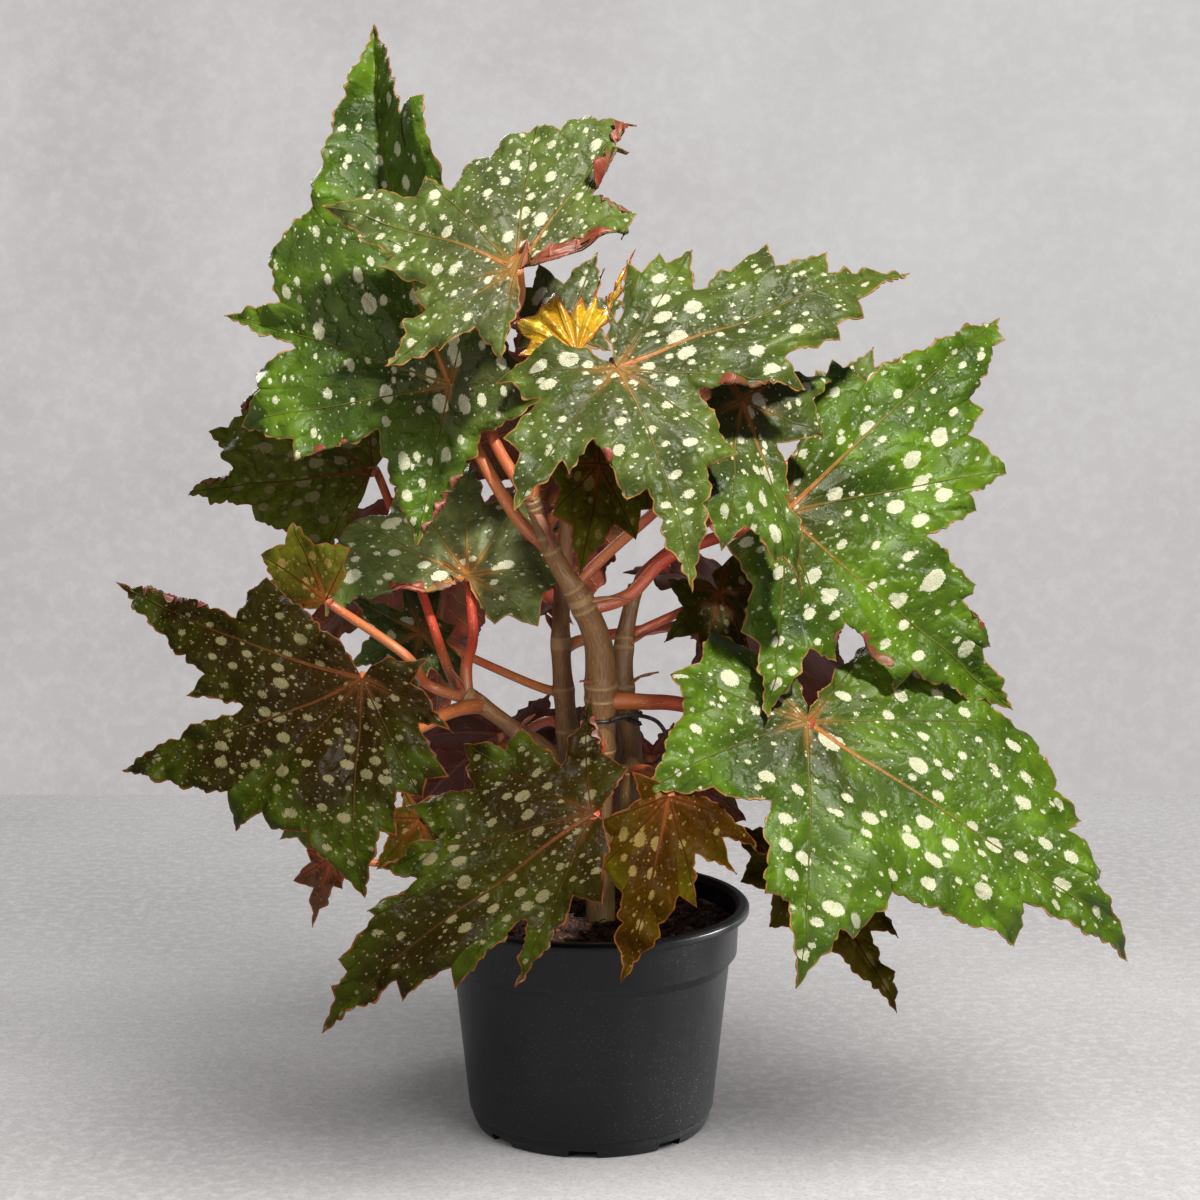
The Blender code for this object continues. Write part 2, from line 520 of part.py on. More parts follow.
def tie_wire():
    """One turn of wire, drawn tight round the main and the right cane."""
    line = []
    for step in range(TIE_STEPS):
        angle = 2 * math.pi * step / TIE_STEPS
        way = Vector((math.cos(angle), math.sin(angle)))
        x, y, radius = max(TIED, key=lambda held: Vector(held[:2]).dot(way) + held[2])
        reach = radius + GAP + TIE_WIRE
        line.append((x + reach * way.x, y + reach * way.y, TIE_HEIGHT, TIE_WIRE))
    ring = tube("tie_wire", line, STALK_SIDES, ring=True)
    ring.data.materials.append(material("tie_wire_finish", WIRE_BLACK, 0.5))
    shade_round(ring.data)
    PARTS.objects.link(ring)


def turned(name, profile, colour, roughness):
    """A body of revolution from its (radius, height) profile, which starts and ends on the axis."""
    mesh = bmesh.new()
    points = [mesh.verts.new((radius * MM, 0, height * MM)) for radius, height in profile]
    for start, end in zip(points, points[1:]):
        mesh.edges.new((start, end))
    piece = add_object(name, mesh, colour, roughness)
    spin = piece.modifiers.new("turned", "SCREW")
    spin.steps = POT_SIDES
    spin.render_steps = POT_SIDES
    spin.use_merge_vertices = True
    spin.merge_threshold = 0.0001
    spin.use_smooth_shade = True
    return piece


def cut(piece, name, mesh):
    """Cut a shape out of a piece."""
    data = bpy.data.meshes.new(name)
    mesh.to_mesh(data)
    mesh.free()
    cutter = bpy.data.objects.new(name, data)
    cutter.hide_render = True
    cutter.display_type = "WIRE"
    CUTTERS.objects.link(cutter)
    taken = piece.modifiers.new(name, "BOOLEAN")
    taken.operation = "DIFFERENCE"
    taken.solver = "EXACT"
    taken.object = cutter


def pot():
    floor_bottom = FLOOR_HEIGHT - WALL
    body = turned("pot", (
        (0, 0), (FOOT_PAD_RADIUS, 0), (FOOT_PAD_RADIUS, floor_bottom), (FOOT_RADIUS - 4, floor_bottom),
        (FOOT_RADIUS - 3.4, 0), (FOOT_RADIUS - 1, 0), (FOOT_RADIUS, 0.8), (STEP_RADIUS - 1.6, 5.5),
        (STEP_RADIUS - 1.6, STEP_HEIGHT - 1.5), (STEP_RADIUS, STEP_HEIGHT), (BODY_TOP_RADIUS, BODY_TOP),
        (BAND_RADIUS, BAND_BOTTOM), (BAND_RADIUS + 1, LIP_BOTTOM), (RIM_RADIUS - 0.6, LIP_BOTTOM),
        (RIM_RADIUS, LIP_BOTTOM + 0.8), (RIM_RADIUS, POT_HEIGHT - 1.6), (RIM_RADIUS - 1.6, POT_HEIGHT),
        (BAND_RADIUS + 1.4, POT_HEIGHT), (BAND_RADIUS + 1 - WALL, POT_HEIGHT - 2.4),
        *reversed(INNER_WALL), (0, FLOOR_HEIGHT)), POT_BLACK, 0.42)
    notches = bmesh.new()
    for number in range(NOTCH_COUNT):
        turn = math.radians(NOTCH_TURN + 360 * number / NOTCH_COUNT)
        place = Matrix.Rotation(turn, 4, "Z") @ Matrix.Translation((0, -FOOT_RADIUS * MM, 0))
        size = Matrix.Diagonal((NOTCH_WIDTH * MM, NOTCH_DEPTH * MM, 2 * NOTCH_HEIGHT * MM, 1))
        bmesh.ops.create_cube(notches, size=1, matrix=place @ size)
    cut(body, "foot_notches", notches)
    drains = bmesh.new()
    for number in range(DRAIN_COUNT):
        turn = math.radians(360 * number / DRAIN_COUNT)
        place = Matrix.Rotation(turn, 4, "Z") @ Matrix.Translation((DRAIN_CIRCLE * MM, 0, FLOOR_HEIGHT * MM))
        bmesh.ops.create_cone(drains, cap_ends=True, segments=DRAIN_SIDES, radius1=DRAIN_RADIUS * MM,
                              radius2=DRAIN_RADIUS * MM, depth=5 * WALL * MM, matrix=place)
    cut(body, "drain_holes", drains)


def soil():
    """The filling of the pot: a lumpy top, and a plain hole for each cane."""
    lumps = random.Random(4)
    wall = [(radius - GAP, height) for radius, height in INNER_WALL]
    edge = wall[-1][0]
    sides = [(0, FLOOR_HEIGHT + GAP), (wall[0][0], FLOOR_HEIGHT + GAP), *wall[1:]]
    rings = [(edge * share, SOIL_TOP) for share in SOIL_RINGS]
    filling = turned("soil", [*sides, *rings, (0, SOIL_TOP)], SOIL_BROWN, 0.9)
    view = bpy.context.evaluated_depsgraph_get()
    data = bpy.data.meshes.new_from_object(filling.evaluated_get(view))
    filling.modifiers.clear()
    filling.data = data
    for vertex in data.vertices:
        if vertex.co.z > (SOIL_TOP - 0.1) * MM and vertex.co.xy.length < 0.97 * edge * MM:
            vertex.co.z += lumps.uniform(-SOIL_LUMP, SOIL_LUMP) * MM
    mesh = bmesh.new()
    mesh.from_mesh(data)
    bmesh.ops.triangulate(mesh, faces=mesh.faces)
    mesh.to_mesh(data)
    mesh.free()
    holes = bmesh.new()
    for spec in CANES.values():
        x, y, z, radius = spec["line"][0]
        clear = (radius + GAP) / math.cos(math.pi / CANE_HOLE_SIDES)
        place = Matrix.Translation((x * MM, y * MM, (z - GAP + CANE_HOLE_DEPTH / 2) * MM))
        bmesh.ops.create_cone(holes, cap_ends=True, segments=CANE_HOLE_SIDES, radius1=clear * MM,
                              radius2=clear * MM, depth=CANE_HOLE_DEPTH * MM, matrix=place)
    cut(filling, "cane_holes", holes)


def make_collection(name):
    collection = bpy.data.collections.new(name)
    bpy.context.scene.collection.children.link(collection)
    return collection


def material(name, colour, roughness):
    finish = bpy.data.materials.new(name)
    finish.use_nodes = True
    shader = finish.node_tree.nodes["Principled BSDF"]
    shader.inputs["Base Color"].default_value = (*colour, 1)
    shader.inputs["Roughness"].default_value = roughness
    shader.inputs["Metallic"].default_value = 0
    return finish


def add_object(name, mesh, colour, roughness):
    """A named piece of the plant from a bmesh, with its own material."""
    data = bpy.data.meshes.new(name)
    mesh.to_mesh(data)
    mesh.free()
    piece = bpy.data.objects.new(name, data)
    data.materials.append(material(name + "_finish", colour, roughness))
    PARTS.objects.link(piece)
    return piece


for old in list(bpy.data.objects):
    bpy.data.objects.remove(old, do_unlink=True)
PARTS = make_collection("potted_begonia")
CUTTERS = make_collection("cutters")

pot()
soil()
for name in CANES:
    cane(name)
tie_wire()
for name in LEAVES:
    leaf_blade(name)
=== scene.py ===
"""Looks of the potted begonia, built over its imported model.

Sizes are millimetres, and MM turns them into metres; only the studio's own sizes are metres. The frame is
the model's: the origin is the middle of the pot's foot on the ground, +Z is up and the plant's best side
looks to -Y.
"""

import math
import random

import bmesh
import bpy
import numpy as np
from mathutils import Matrix, Vector, noise


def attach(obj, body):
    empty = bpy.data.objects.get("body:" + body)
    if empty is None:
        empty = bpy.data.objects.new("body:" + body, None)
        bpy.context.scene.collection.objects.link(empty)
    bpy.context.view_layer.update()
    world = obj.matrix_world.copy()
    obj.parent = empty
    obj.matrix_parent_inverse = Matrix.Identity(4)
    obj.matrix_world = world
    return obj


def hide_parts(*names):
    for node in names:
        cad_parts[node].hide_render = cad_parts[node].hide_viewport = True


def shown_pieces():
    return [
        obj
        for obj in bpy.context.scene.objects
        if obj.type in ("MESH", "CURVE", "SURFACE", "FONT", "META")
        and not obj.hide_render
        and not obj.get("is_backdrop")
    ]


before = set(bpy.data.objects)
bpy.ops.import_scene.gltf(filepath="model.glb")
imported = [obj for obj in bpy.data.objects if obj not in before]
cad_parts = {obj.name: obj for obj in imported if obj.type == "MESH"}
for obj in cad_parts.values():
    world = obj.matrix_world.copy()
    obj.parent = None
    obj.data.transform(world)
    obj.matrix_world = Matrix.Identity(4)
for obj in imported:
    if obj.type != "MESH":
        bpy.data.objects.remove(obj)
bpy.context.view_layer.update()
MM = 0.001

# Pot, as in the model but for its taller foot notches
RIM_RADIUS = 85.0
POT_HEIGHT = 122.0
BAND_RADIUS = 78.5
BAND_BOTTOM = 95.0
BODY_TOP_RADIUS = 74.5
BODY_TOP = 90.0
STEP_RADIUS = 66.2
STEP_HEIGHT = 10.0
FOOT_RADIUS = 62.5
LIP_BOTTOM = 116.8
WALL = 1.6
FLOOR_HEIGHT = 6.0
FOOT_PAD_RADIUS = 14.0
NOTCH_COUNT = 8
NOTCH_WIDTH = 15.0
NOTCH_HEIGHT = 4.4
NOTCH_TURN = -4.0
DRAIN_RADIUS = 5.0
DRAIN_CIRCLE = 36.0
DRAIN_COUNT = 6
POT_SIDES = 144
POT_CREASE = 40  # degrees
EDGE_ROUND = 0.5
NOTCH_DEPTH = 12.0
NOTCH_ROUND = 0.8

SOIL_TOP = 110.0
SOIL_RADIUS = BAND_RADIUS + 0.6 - WALL
SOIL_GAP = 0.3
SOIL_RINGS = 46
SOIL_SIDES = 150
LUMPS = ((14, 3, 2.2), (5, 8, 1.2))  # each kind's length, place in the noise and height
CRUMBS = 900
CRUMB_SIZE = (0.7, 1.9)
CRUMB_GAP = 3  # how far crumbs and fibres stay from the wall
FIBRES = 70
FIBRE_RADIUS = 0.22
FIBRE_LENGTH = (5, 13)
FIBRE_BEND = 0.9
FIBRE_ARCH = (0.6, 1.5)  # how high its ends lie, and how much higher its middle
FIBRE_GAP = 14

# Leaf blades, as in the model but puffed a little more, with sides that swell less
CUP = 0.0004  # how far a blade curls back, per square millimetre of reach
PUFF = 2.8  # how far the blade rises between its ribs
RIB_REACH = 11.0  # distance from a rib at which most of that rise is reached
BELLY = 0.015  # how far a lobe's side swells, as a share of its length
BELLY_SCALE = 6.75  # brings u (1 - u) squared to 1 where it is highest
TOOTH_PITCH = 20.0
TOOTH_HEIGHT = 3.0
TOOTH_TIP = 0.65  # where in its own stretch of margin a tooth has its tip

# The finer form of a blade. Its sides carry small teeth, and narrow notches are hollowed by up to SINUS.
BLADE = 0.6
SMALL_TOOTH_PITCH = 8.0
SMALL_TOOTH = 2.4
SMALL_TOOTH_TIP = 0.6
SINUS = 4.0
SINUS_ROUND = 7.5
ROW_PITCH = 1.3
BODY_ROWS = 12
COLUMNS = (0, 0.2, 0.4, 0.58, 0.73, 0.84, 0.92, 0.97, 1)  # from the rib to the side
RIB_SPREAD = 24  # two main ribs are at least this many degrees apart
RIB_STEPS = 16
BLADE_MERGE = 0.02
FULL_BLADE = 90  # a blade with a rib of this length has its waves in full
HELD_REACH = 30  # how far from the joint the ribs hold it flat
BUCKLE_LENGTH = 38  # the broad waves of the whole blade
BUCKLE_HEIGHT = 6.0
RUFFLE_LENGTH = 13  # the small waves along the margin, and how far in they reach
RUFFLE_HEIGHT = 7.5
RUFFLE_DEPTH = 11
LIP_TURN = 2.0  # how far the margin itself bends back
PLEAT_TURN = 19.0  # the pleats of the young golden leaf: how many degrees each takes, and how high it stands
PLEAT_HEIGHT = 3.2
PLEAT_REACH = 28

# Stalks and canes
STALK_REST = 0.35
STALK_LEAD = 24
KNOT_SWELL = 0.13
KNOT_LENGTH = 4
NO_KNOT = 99.0
MERGE = 0.01

# A blade's markings. Side veins leave the rib aslant, by turns on its two sides.
MAP_UNIT = 100  # UV maps hold millimetres over this
VEIN_PITCH = 15.0
BACK_VEIN_PITCH = 13.0
VEIN_SLANT = 0.85
VEIN_SQUARE = 0.76  # what a distance along the rib is worth, square to a vein
SPOT_STRETCH = 1.55  # cells of spots are this much longer than wide
NET_SCALE = 0.42
# The grey of the painted sheen, as of light glancing off a blade
PAINTED_SHEEN = (0.112, 0.112, 0.052)
OLIVE_DEEP = (0.030, 0.034, 0.004)
OLIVE_BRIGHT = (0.075, 0.095, 0.008)

TIE_HEIGHT = 222.0
TIE_WIRE = 1.1  # radius, as of its tails below
TIED = ((5.0, -0.6, 8.3), (18.8, 13.5, 6.4))  # the two canes at that height: x, y and radius
TIE_LOOP = ((10, -10.5, 223), (22, -12, 226), (34, -11, 223), (40, -9, 214), (39, -7, 205), (34, -4, 199))
TIE_TAIL_START = (17.5, 4.5, TIE_HEIGHT)
TIE_TAIL_WAY = (0.82, -0.5, -0.28)
TIE_TAIL = 0.7
TWIST_REACH = 0.75  # how far the tails wind off their middle line
TWIST_TURN = 0.55  # radians a step
TWIST_STEP = 0.28

# The camera, in the photograph's pixels, metres and degrees, and the studio, in metres
PHOTO_SIZE = 1200
FOCAL_LENGTH = 2677
SENSOR = 36
CAMERA_PLACE = (0.0047, -1.3984, 0.5076)
CAMERA_DROP = 9.015
FLOOR_HALF = 0.77
BACKDROP_RADIUS = 4
BEHIND = (-0.9, 2.0, 1.15)  # where both back lights stand
DAYLIGHT = (1, 0.98, 0.95)
FLOOR_WHITE = (1, 0.985, 0.975)

# A blade has its joint (x, y, z), where its stalk meets it, its facing (turn to the right and tilt to the
# sky, in degrees), its kind and its outline. The outline runs clockwise as seen from the front, from the
# base notch, notch and lobe tip in turn, and ends on a notch. Each point is a clock bearing in degrees and
# a reach from the joint, and a tip adds how far it bends to the front.
LEAVES = {
    "leaf_top_left": ((-74, 5, 399), (-8, 14), "green", (
        (145, 30), (189, 87, 6), (237, 44), (243, 91, 4), (250, 88), (260, 119, -14), (268, 102),
        (274, 110, -8), (283, 87), (287, 134, -12), (295, 103), (304, 122, -6), (321, 119),
        (345, 208, -4), (349, 142), (355, 147, 0), (357, 90), (369, 80, 0), (391, 35), (458, 52, 0),
        (505, 30))),
    "leaf_top_centre": ((-37, -42, 461), (-4, 30), "green", (
        (172, 6), (186, 51, 4), (211, 38), (219, 59, 6), (223, 56), (229, 84, 8), (245, 50),
        (255, 54, 4), (262, 46), (270, 70, 4), (279, 65), (283, 85, 2), (285, 83), (290, 109, 6),
        (309, 70), (318, 75, -2), (322, 59), (340, 73, -4), (345, 70), (364, 88, -6), (373, 83),
        (377, 101, -8), (383, 96), (391, 110, -12), (394, 84), (396, 91, -10), (400, 56),
        (420, 68, -6), (426, 60), (430, 60, -8), (446, 4))),
    "leaf_centre_right": ((13, -95, 415), (4, 32), "green", (
        (-18, 7), (-5, 40, 0), (2, 24), (7, 62, -2), (15, 54), (20, 69, -2), (24, 65), (30, 82, -4),
        (42, 60), (47, 108, -4), (55, 99), (58, 128, -6), (63, 121), (66, 169, -12), (71, 130),
        (75, 130, -4), (77, 113), (80, 114, -4), (84, 84), (93, 94, -4), (105, 41), (129, 73, -2),
        (141, 66), (164, 118, -12), (169, 64), (178, 68, -6), (199, 40), (205, 59, -4), (210, 56),
        (216, 88, -10), (228, 65), (237, 67, -4), (247, 41), (269, 59, -6), (279, 44),
        (297, 35, -2), (312, 7))),
    "leaf_under_centre": ((76, -58, 396), (14, 28), "green", (
        (19, 16), (74, 55, -6), (89, 37), (114, 46, -4), (142, 27), (157, 53, -2), (161, 52),
        (167, 101, -14), (174, 85), (177, 87, -6), (188, 70), (195, 82, -8), (206, 68),
        (243, 42, -4), (280, 16), (342, 32, -6), (379, 16))),
    "leaf_right": ((99, -40, 337), (16, 20), "green", (
        (-2, 9), (25, 92, -4), (38, 88), (53, 185, -14), (62, 129), (66, 134, -4), (70, 114),
        (82, 129, -8), (87, 100), (91, 107, -4), (103, 75), (112, 110, -8), (119, 103),
        (124, 131, -8), (127, 125), (131, 161, -9), (144, 104), (150, 107, -6), (156, 64),
        (164, 80, -2), (176, 71), (190, 106, -4), (196, 69), (205, 65, -4), (210, 44),
        (245, 33, -8), (262, 7))),
    "leaf_lower_right": ((110, -62, 233), (16, 32), "green", (
        (22, 9), (45, 64, -4), (80, 86), (95, 129, -6), (100, 129), (104, 143, -6), (108, 138),
        (111, 159, -8), (116, 149), (119, 175, -10), (123, 171), (127, 212, -20), (135, 143),
        (140, 155, -12), (162, 96), (176, 112, -6), (181, 109), (190, 134, -10), (195, 96),
        (203, 95, -6), (213, 48), (233, 64, 3), (240, 64), (252, 92, -6), (278, 64), (296, 73, -4),
        (306, 62), (327, 71, -4), (335, 42), (354, 46, -2), (370, 9))),
    "leaf_low_right": ((39, -92, 201), (4, 28), "olive", (
        (86, 12), (119, 59, -6), (131, 34), (139, 51, -6), (158, 32), (167, 56, -6), (176, 50),
        (196, 95, -6), (207, 55), (224, 49, -2), (237, 34), (251, 37, -2), (268, 14), (305, 22, 0),
        (330, 8))),
    "leaf_low_centre": ((1, -104, 195), (-8, 34), "dark", (
        (122, 7), (170, 46, -4), (188, 43), (200, 94, -6), (208, 62), (215, 109, -8), (218, 103),
        (223, 130, -8), (226, 126), (230, 170, -14), (234, 143), (237, 144, -6), (240, 118),
        (243, 121, -4), (245, 92), (254, 110, -6), (259, 78), (271, 96, -6), (281, 62), (298, 79, -4),
        (305, 58), (319, 62, -4), (325, 31), (354, 64, -4), (364, 33), (390, 31, -4), (410, 7))),
    "leaf_left": ((-113, -98, 262), (-14, 26), "dark", (
        (34, 8), (71, 35, -4), (93, 26), (116, 53, -6), (123, 37), (133, 66, -6), (141, 62),
        (147, 68, -6), (155, 62), (161, 81, -6), (165, 79), (173, 108, -10), (191, 81), (205, 86, -6),
        (210, 81), (218, 98, -8), (225, 86), (250, 139, -14), (254, 62), (263, 94, -4), (269, 83),
        (289, 157, -12), (292, 77), (311, 80, -4), (326, 7))),
    "leaf_left_upper": ((-123, 90, 344), (-18, 22), "dark", (
        (189, 18), (207, 58, -4), (228, 56), (248, 76, -4), (253, 74), (264, 121, -12), (270, 86),
        (282, 111, -6), (290, 90), (301, 98, -4), (310, 63), (339, 76, 0), (394, 14))),
    "leaf_left_small": ((-140, 0, 286), (-16, 26), "olive", (
        (216, 7), (270, 48, -4), (288, 35), (300, 52, -6), (316, 42), (327, 53, -4), (339, 32),
        (375, 31, -2), (420, 6))),
    "leaf_mid_left": ((-67, 40, 293), (-4, 36), "green", (
        (222, 6), (256, 81, -10), (280, 76), (298, 78, -4), (308, 59), (325, 75, -2), (338, 48),
        (357, 74, 0), (370, 43), (386, 69, 0), (416, 36), (446, 50, -2), (465, 43), (484, 47, -6),
        (496, 33), (510, 31, -4), (526, 8))),
    "leaf_golden": ((-7, -25, 418), (0, 20), "golden", (
        (244, 6), (264, 30, 4), (285, 24), (298, 36, 4), (317, 30), (341, 36, -6), (350, 20),
        (365, 31, 4), (371, 24), (376, 50, -6), (383, 27), (388, 64, 2), (404, 12))),
    "leaf_under_olive": ((4, -66, 365), (0, 26), "olive", (
        (62, 10), (121, 38, -4), (139, 32), (154, 42, -4), (166, 33), (190, 55, -8), (202, 35),
        (222, 34, -4), (236, 23), (272, 27, -2), (310, 12), (350, 22, 0), (422, 10))),
    "leaf_back_top": ((-14, 55, 422), (0, 20), "green", (
        (206, 6), (256, 28, 0), (283, 22), (310, 41, 0), (326, 32), (340, 43, 0), (358, 30),
        (380, 51, 0), (397, 28), (419, 38, 0), (436, 20), (469, 26, 0), (506, 7))),
    "leaf_back_right": ((134, 75, 369), (15, 20), "green", (
        (-60, 8), (-13, 35, 0), (9, 30), (31, 54, 0), (38, 44), (47, 62, 0), (66, 37), (97, 56, 0),
        (119, 28), (152, 46, 0), (180, 12))),
    "leaf_mid_dark": ((68, 15, 288), (4, 24), "dark", (
        (-20, 10), (31, 30, 0), (51, 18), (89, 31, 0), (128, 17), (159, 42, -4), (174, 26),
        (194, 40, -4), (208, 26), (228, 40, -2), (248, 21), (286, 28, 0), (318, 8))),
    "leaf_low_right_back": ((113, -25, 156), (10, 26), "olive", (
        (32, 10), (61, 36, 0), (101, 25), (136, 67, -6), (144, 54), (151, 97, -14), (179, 42),
        (209, 43, -8), (224, 30), (248, 38, -6), (267, 29), (293, 39, -2), (325, 11))),
    "leaf_low_left_small": ((-134, -55, 160), (-10, 20), "red", (
        (42, 7), (91, 17, 0), (124, 9), (158, 17, -4), (170, 15), (194, 37, -6), (207, 18),
        (238, 24, -4), (256, 11), (284, 14, 0), (312, 8), (360, 17, 0), (402, 7))),
    "leaf_low_left_back": ((-146, -30, 180), (-18, 24), "green", (
        (70, 12), (122, 28, 0), (150, 13), (178, 23, -4), (201, 17), (228, 25, -4), (244, 13),
        (264, 29, -2), (284, 13), (306, 22, 0), (344, 9), (396, 26, 0), (430, 12))),
    "leaf_mid_low_left": ((-89, -35, 176), (-6, 30), "olive", (
        (-20, 8), (43, 21, 0), (81, 12), (119, 32, 0), (142, 19), (161, 34, -4), (188, 20),
        (219, 35, -4), (238, 19), (271, 26, -2), (300, 12), (326, 18, 0), (340, 8))),
    "leaf_back_left_mid": ((-96, 85, 254), (-10, 22), "green", (
        (42, 12), (76, 20, 0), (109, 16), (136, 47, -6), (160, 22), (189, 41, -6), (213, 22),
        (246, 47, -6), (270, 25), (296, 52, -6), (316, 17), (336, 36, -2), (358, 20), (377, 33, -2),
        (402, 12))),
    "leaf_rear_upper": ((-2, 124, 378), (164, 28), "green", (
        (-14, 8), (26, 74, -4), (46, 52), (68, 96, -8), (86, 62), (112, 118, -10), (136, 72),
        (172, 144, -6), (198, 66), (224, 104, -10), (244, 58), (276, 88, -6), (296, 48),
        (326, 66, -4), (346, 8))),
    "leaf_rear_right": ((94, 112, 266), (132, 30), "dark", (
        (-14, 8), (30, 62, -4), (52, 44), (78, 92, -8), (100, 56), (130, 104, -10), (152, 66),
        (186, 134, -18), (208, 60), (236, 88, -10), (258, 46), (288, 70, -6), (308, 40),
        (330, 54, -4), (346, 8))),
    "leaf_rear_left": ((-80, 138, 300), (195, 32), "green", (
        (-14, 8), (28, 66, -4), (50, 46), (76, 90, -8), (98, 58), (128, 112, -10), (150, 68),
        (180, 140, -18), (204, 62), (232, 98, -10), (254, 50), (286, 80, -6), (306, 42),
        (330, 56, -4), (346, 8))),
    "leaf_rear_low_left": ((-52, 112, 190), (200, 32), "dark", (
        (-14, 8), (32, 52, -4), (56, 36), (84, 76, -8), (106, 46), (138, 84, -10), (158, 54),
        (190, 112, -14), (212, 48), (240, 70, -8), (262, 38), (292, 58, -6), (312, 32),
        (332, 44, -4), (346, 8))),
    "leaf_rear_low_right": ((34, 116, 176), (166, 30), "olive", (
        (-14, 8), (30, 48, -4), (54, 34), (82, 70, -8), (104, 42), (134, 78, -10), (156, 50),
        (186, 104, -14), (208, 46), (236, 66, -8), (258, 36), (290, 54, -6), (310, 30),
        (332, 42, -4), (346, 8))),
}

CANES = {
    "cane_main": {
        "finish": "brown",
        "line": (
            (5, 4, 51, 8.2), (5, 4, 118, 8.2), (4, 4, 149, 8.4), (3, 3, 182, 8.6), (5, 0, 214, 8.2),
            (5, -2, 245, 8.4), (3, -4, 266, 7.6), (-7, -8, 290, 6.4), (-16, -11, 304, 5.2),
            (-24, -14, 322, 4.6), (-31, -18, 343, 4.0)),
        "stalks": (
            ("leaf_top_left", (-6, -8, 288), (-0.5, 0.1, 0.9), 3.4, ((-40, 6, 330), (-67, 16, 376))),
            ("leaf_top_centre", (-20, -13, 314), (-0.4, 0.2, 0.9), 3.0,
             ((-38, -6, 349), (-53, 10, 376), (-52, 22, 412), (-38, 4, 442))),
            ("leaf_centre_right", (-31, -18, 341), (0.2, -0.1, 1.0), 2.8, ((-14, -44, 392),)),
            ("leaf_golden", (-30, -17, 338), (0.0, 0.3, 1.0), 2.2, ((-22, -2, 385),)),
            ("leaf_under_olive", (-24, -14, 322), (0.3, -0.4, 0.6), 2.2, ()),
            ("leaf_under_centre", (-9, -9, 294), (0.7, 0.1, 0.7), 2.8, ((48, -20, 350),)),
            ("leaf_right", (-3, -6, 282), (1.0, 0.1, 0.3), 3.4, ((44, -4, 311),)),
            ("leaf_lower_right", (5, -1, 232), (1.0, -0.2, 0.0), 4.0, ((50, -20, 233),)),
            ("leaf_low_centre", (4, 1, 205), (0.0, -1.0, 0.2), 3.2, ())),
        "bracts": (
            ((-29, -17, 338), (-19, -27, 316), 2.6), ((-5, -7, 286), (22, -17, 288), 2.4),
            ((5, -1, 240), (-6, -15, 245), 2.6), ((4, 4, 152), (-8, -4, 162), 2.4)),
    },
    "cane_left": {
        "finish": "green",
        "line": (
            (-17, 3, 51, 4.7), (-17, 3, 118, 4.7), (-18, 5, 165, 4.6), (-22, 9, 199, 4.8),
            (-40, 10, 213, 4.4), (-58, 12, 226, 4.6), (-68, 12, 232, 5.4)),
        "stalks": (
            ("leaf_mid_left", (-67, 12, 231), (0.0, 0.2, 1.0), 3.0, ((-64, 26, 262),)),
            ("leaf_left", (-60, 12, 227), (-0.6, -0.8, 0.0), 3.4, ((-98, -52, 226),)),
            ("leaf_left_small", (-66, 12, 230), (-0.8, 0.0, 0.3), 2.6, ((-99, -2, 257),)),
            ("leaf_left_upper", (-68, 12, 232), (-0.4, 0.7, 0.5), 2.6, ((-96, 66, 286),)),
            ("leaf_mid_low_left", (-18, 5, 160), (-1.0, -0.2, 0.1), 2.2, ()),
            ("leaf_low_left_back", (-18, 4, 150), (-1.0, 0.1, 0.2), 2.2, ()),
            ("leaf_low_left_small", (-17, 3, 135), (-1.0, -0.3, 0.1), 2.0, ())),
        "bracts": (
            ((-67, 12, 231), (-76, 4, 250), 2.6), ((-40, 10, 213), (-30, 2, 224), 2.2)),
    },
    "cane_right": {
        "finish": "brown",
        "line": (
            (22, 12, 51, 6.4), (22, 12, 118, 6.4), (21, 12, 163, 6.6), (21, 13, 195, 6.8),
            (20, 13, 214, 6.4), (17, 14, 234, 6.2), (18, 18, 262, 5.0), (24, 24, 290, 3.8)),
        "stalks": (
            ("leaf_low_right", (21, 13, 190), (0.4, -0.9, 0.2), 3.0, ((40, -46, 196),)),
            ("leaf_low_right_back", (21, 12, 165), (1.0, -0.1, 0.1), 2.6, ()),
            ("leaf_mid_dark", (18, 18, 262), (0.9, 0.3, 0.4), 2.4, ()),
            ("leaf_back_right", (24, 24, 288), (0.6, 0.4, 0.7), 2.6, ())),
        "bracts": (
            ((18, 18, 258), (40, 8, 268), 2.4), ((17, 14, 236), (36, 6, 246), 2.2)),
    },
    "cane_back": {
        "finish": "green",
        "line": (
            (-6, 44, 51, 6.0), (-6, 44, 118, 6.0), (-10, 48, 150, 6.2), (-13, 51, 200, 6.2),
            (-17, 56, 255, 5.2), (-14, 60, 310, 4.4), (-12, 62, 352, 3.4)),
        "stalks": (
            ("leaf_back_top", (-12, 62, 350), (0.0, 0.5, 1.0), 2.2, ()),
            ("leaf_rear_upper", (-13, 60, 330), (0.1, 0.4, 0.9), 2.8, ()),
            ("leaf_rear_right", (-16, 56, 250), (0.9, 0.5, 0.2), 3.0, ()),
            ("leaf_rear_left", (-16, 58, 290), (-0.8, 0.3, 0.4), 2.8, ()),
            ("leaf_rear_low_left", (-13, 51, 205), (-0.6, 0.6, 0.1), 2.6, ()),
            ("leaf_rear_low_right", (-11, 49, 180), (0.7, 0.7, 0.1), 2.6, ()),
            ("leaf_back_left_mid", (-15, 53, 225), (-0.9, 0.4, 0.2), 2.4, ())),
        "bracts": (
            ((-17, 56, 255), (-26, 68, 268), 2.4), ((-13, 51, 205), (-2, 62, 214), 2.4)),
    },
}
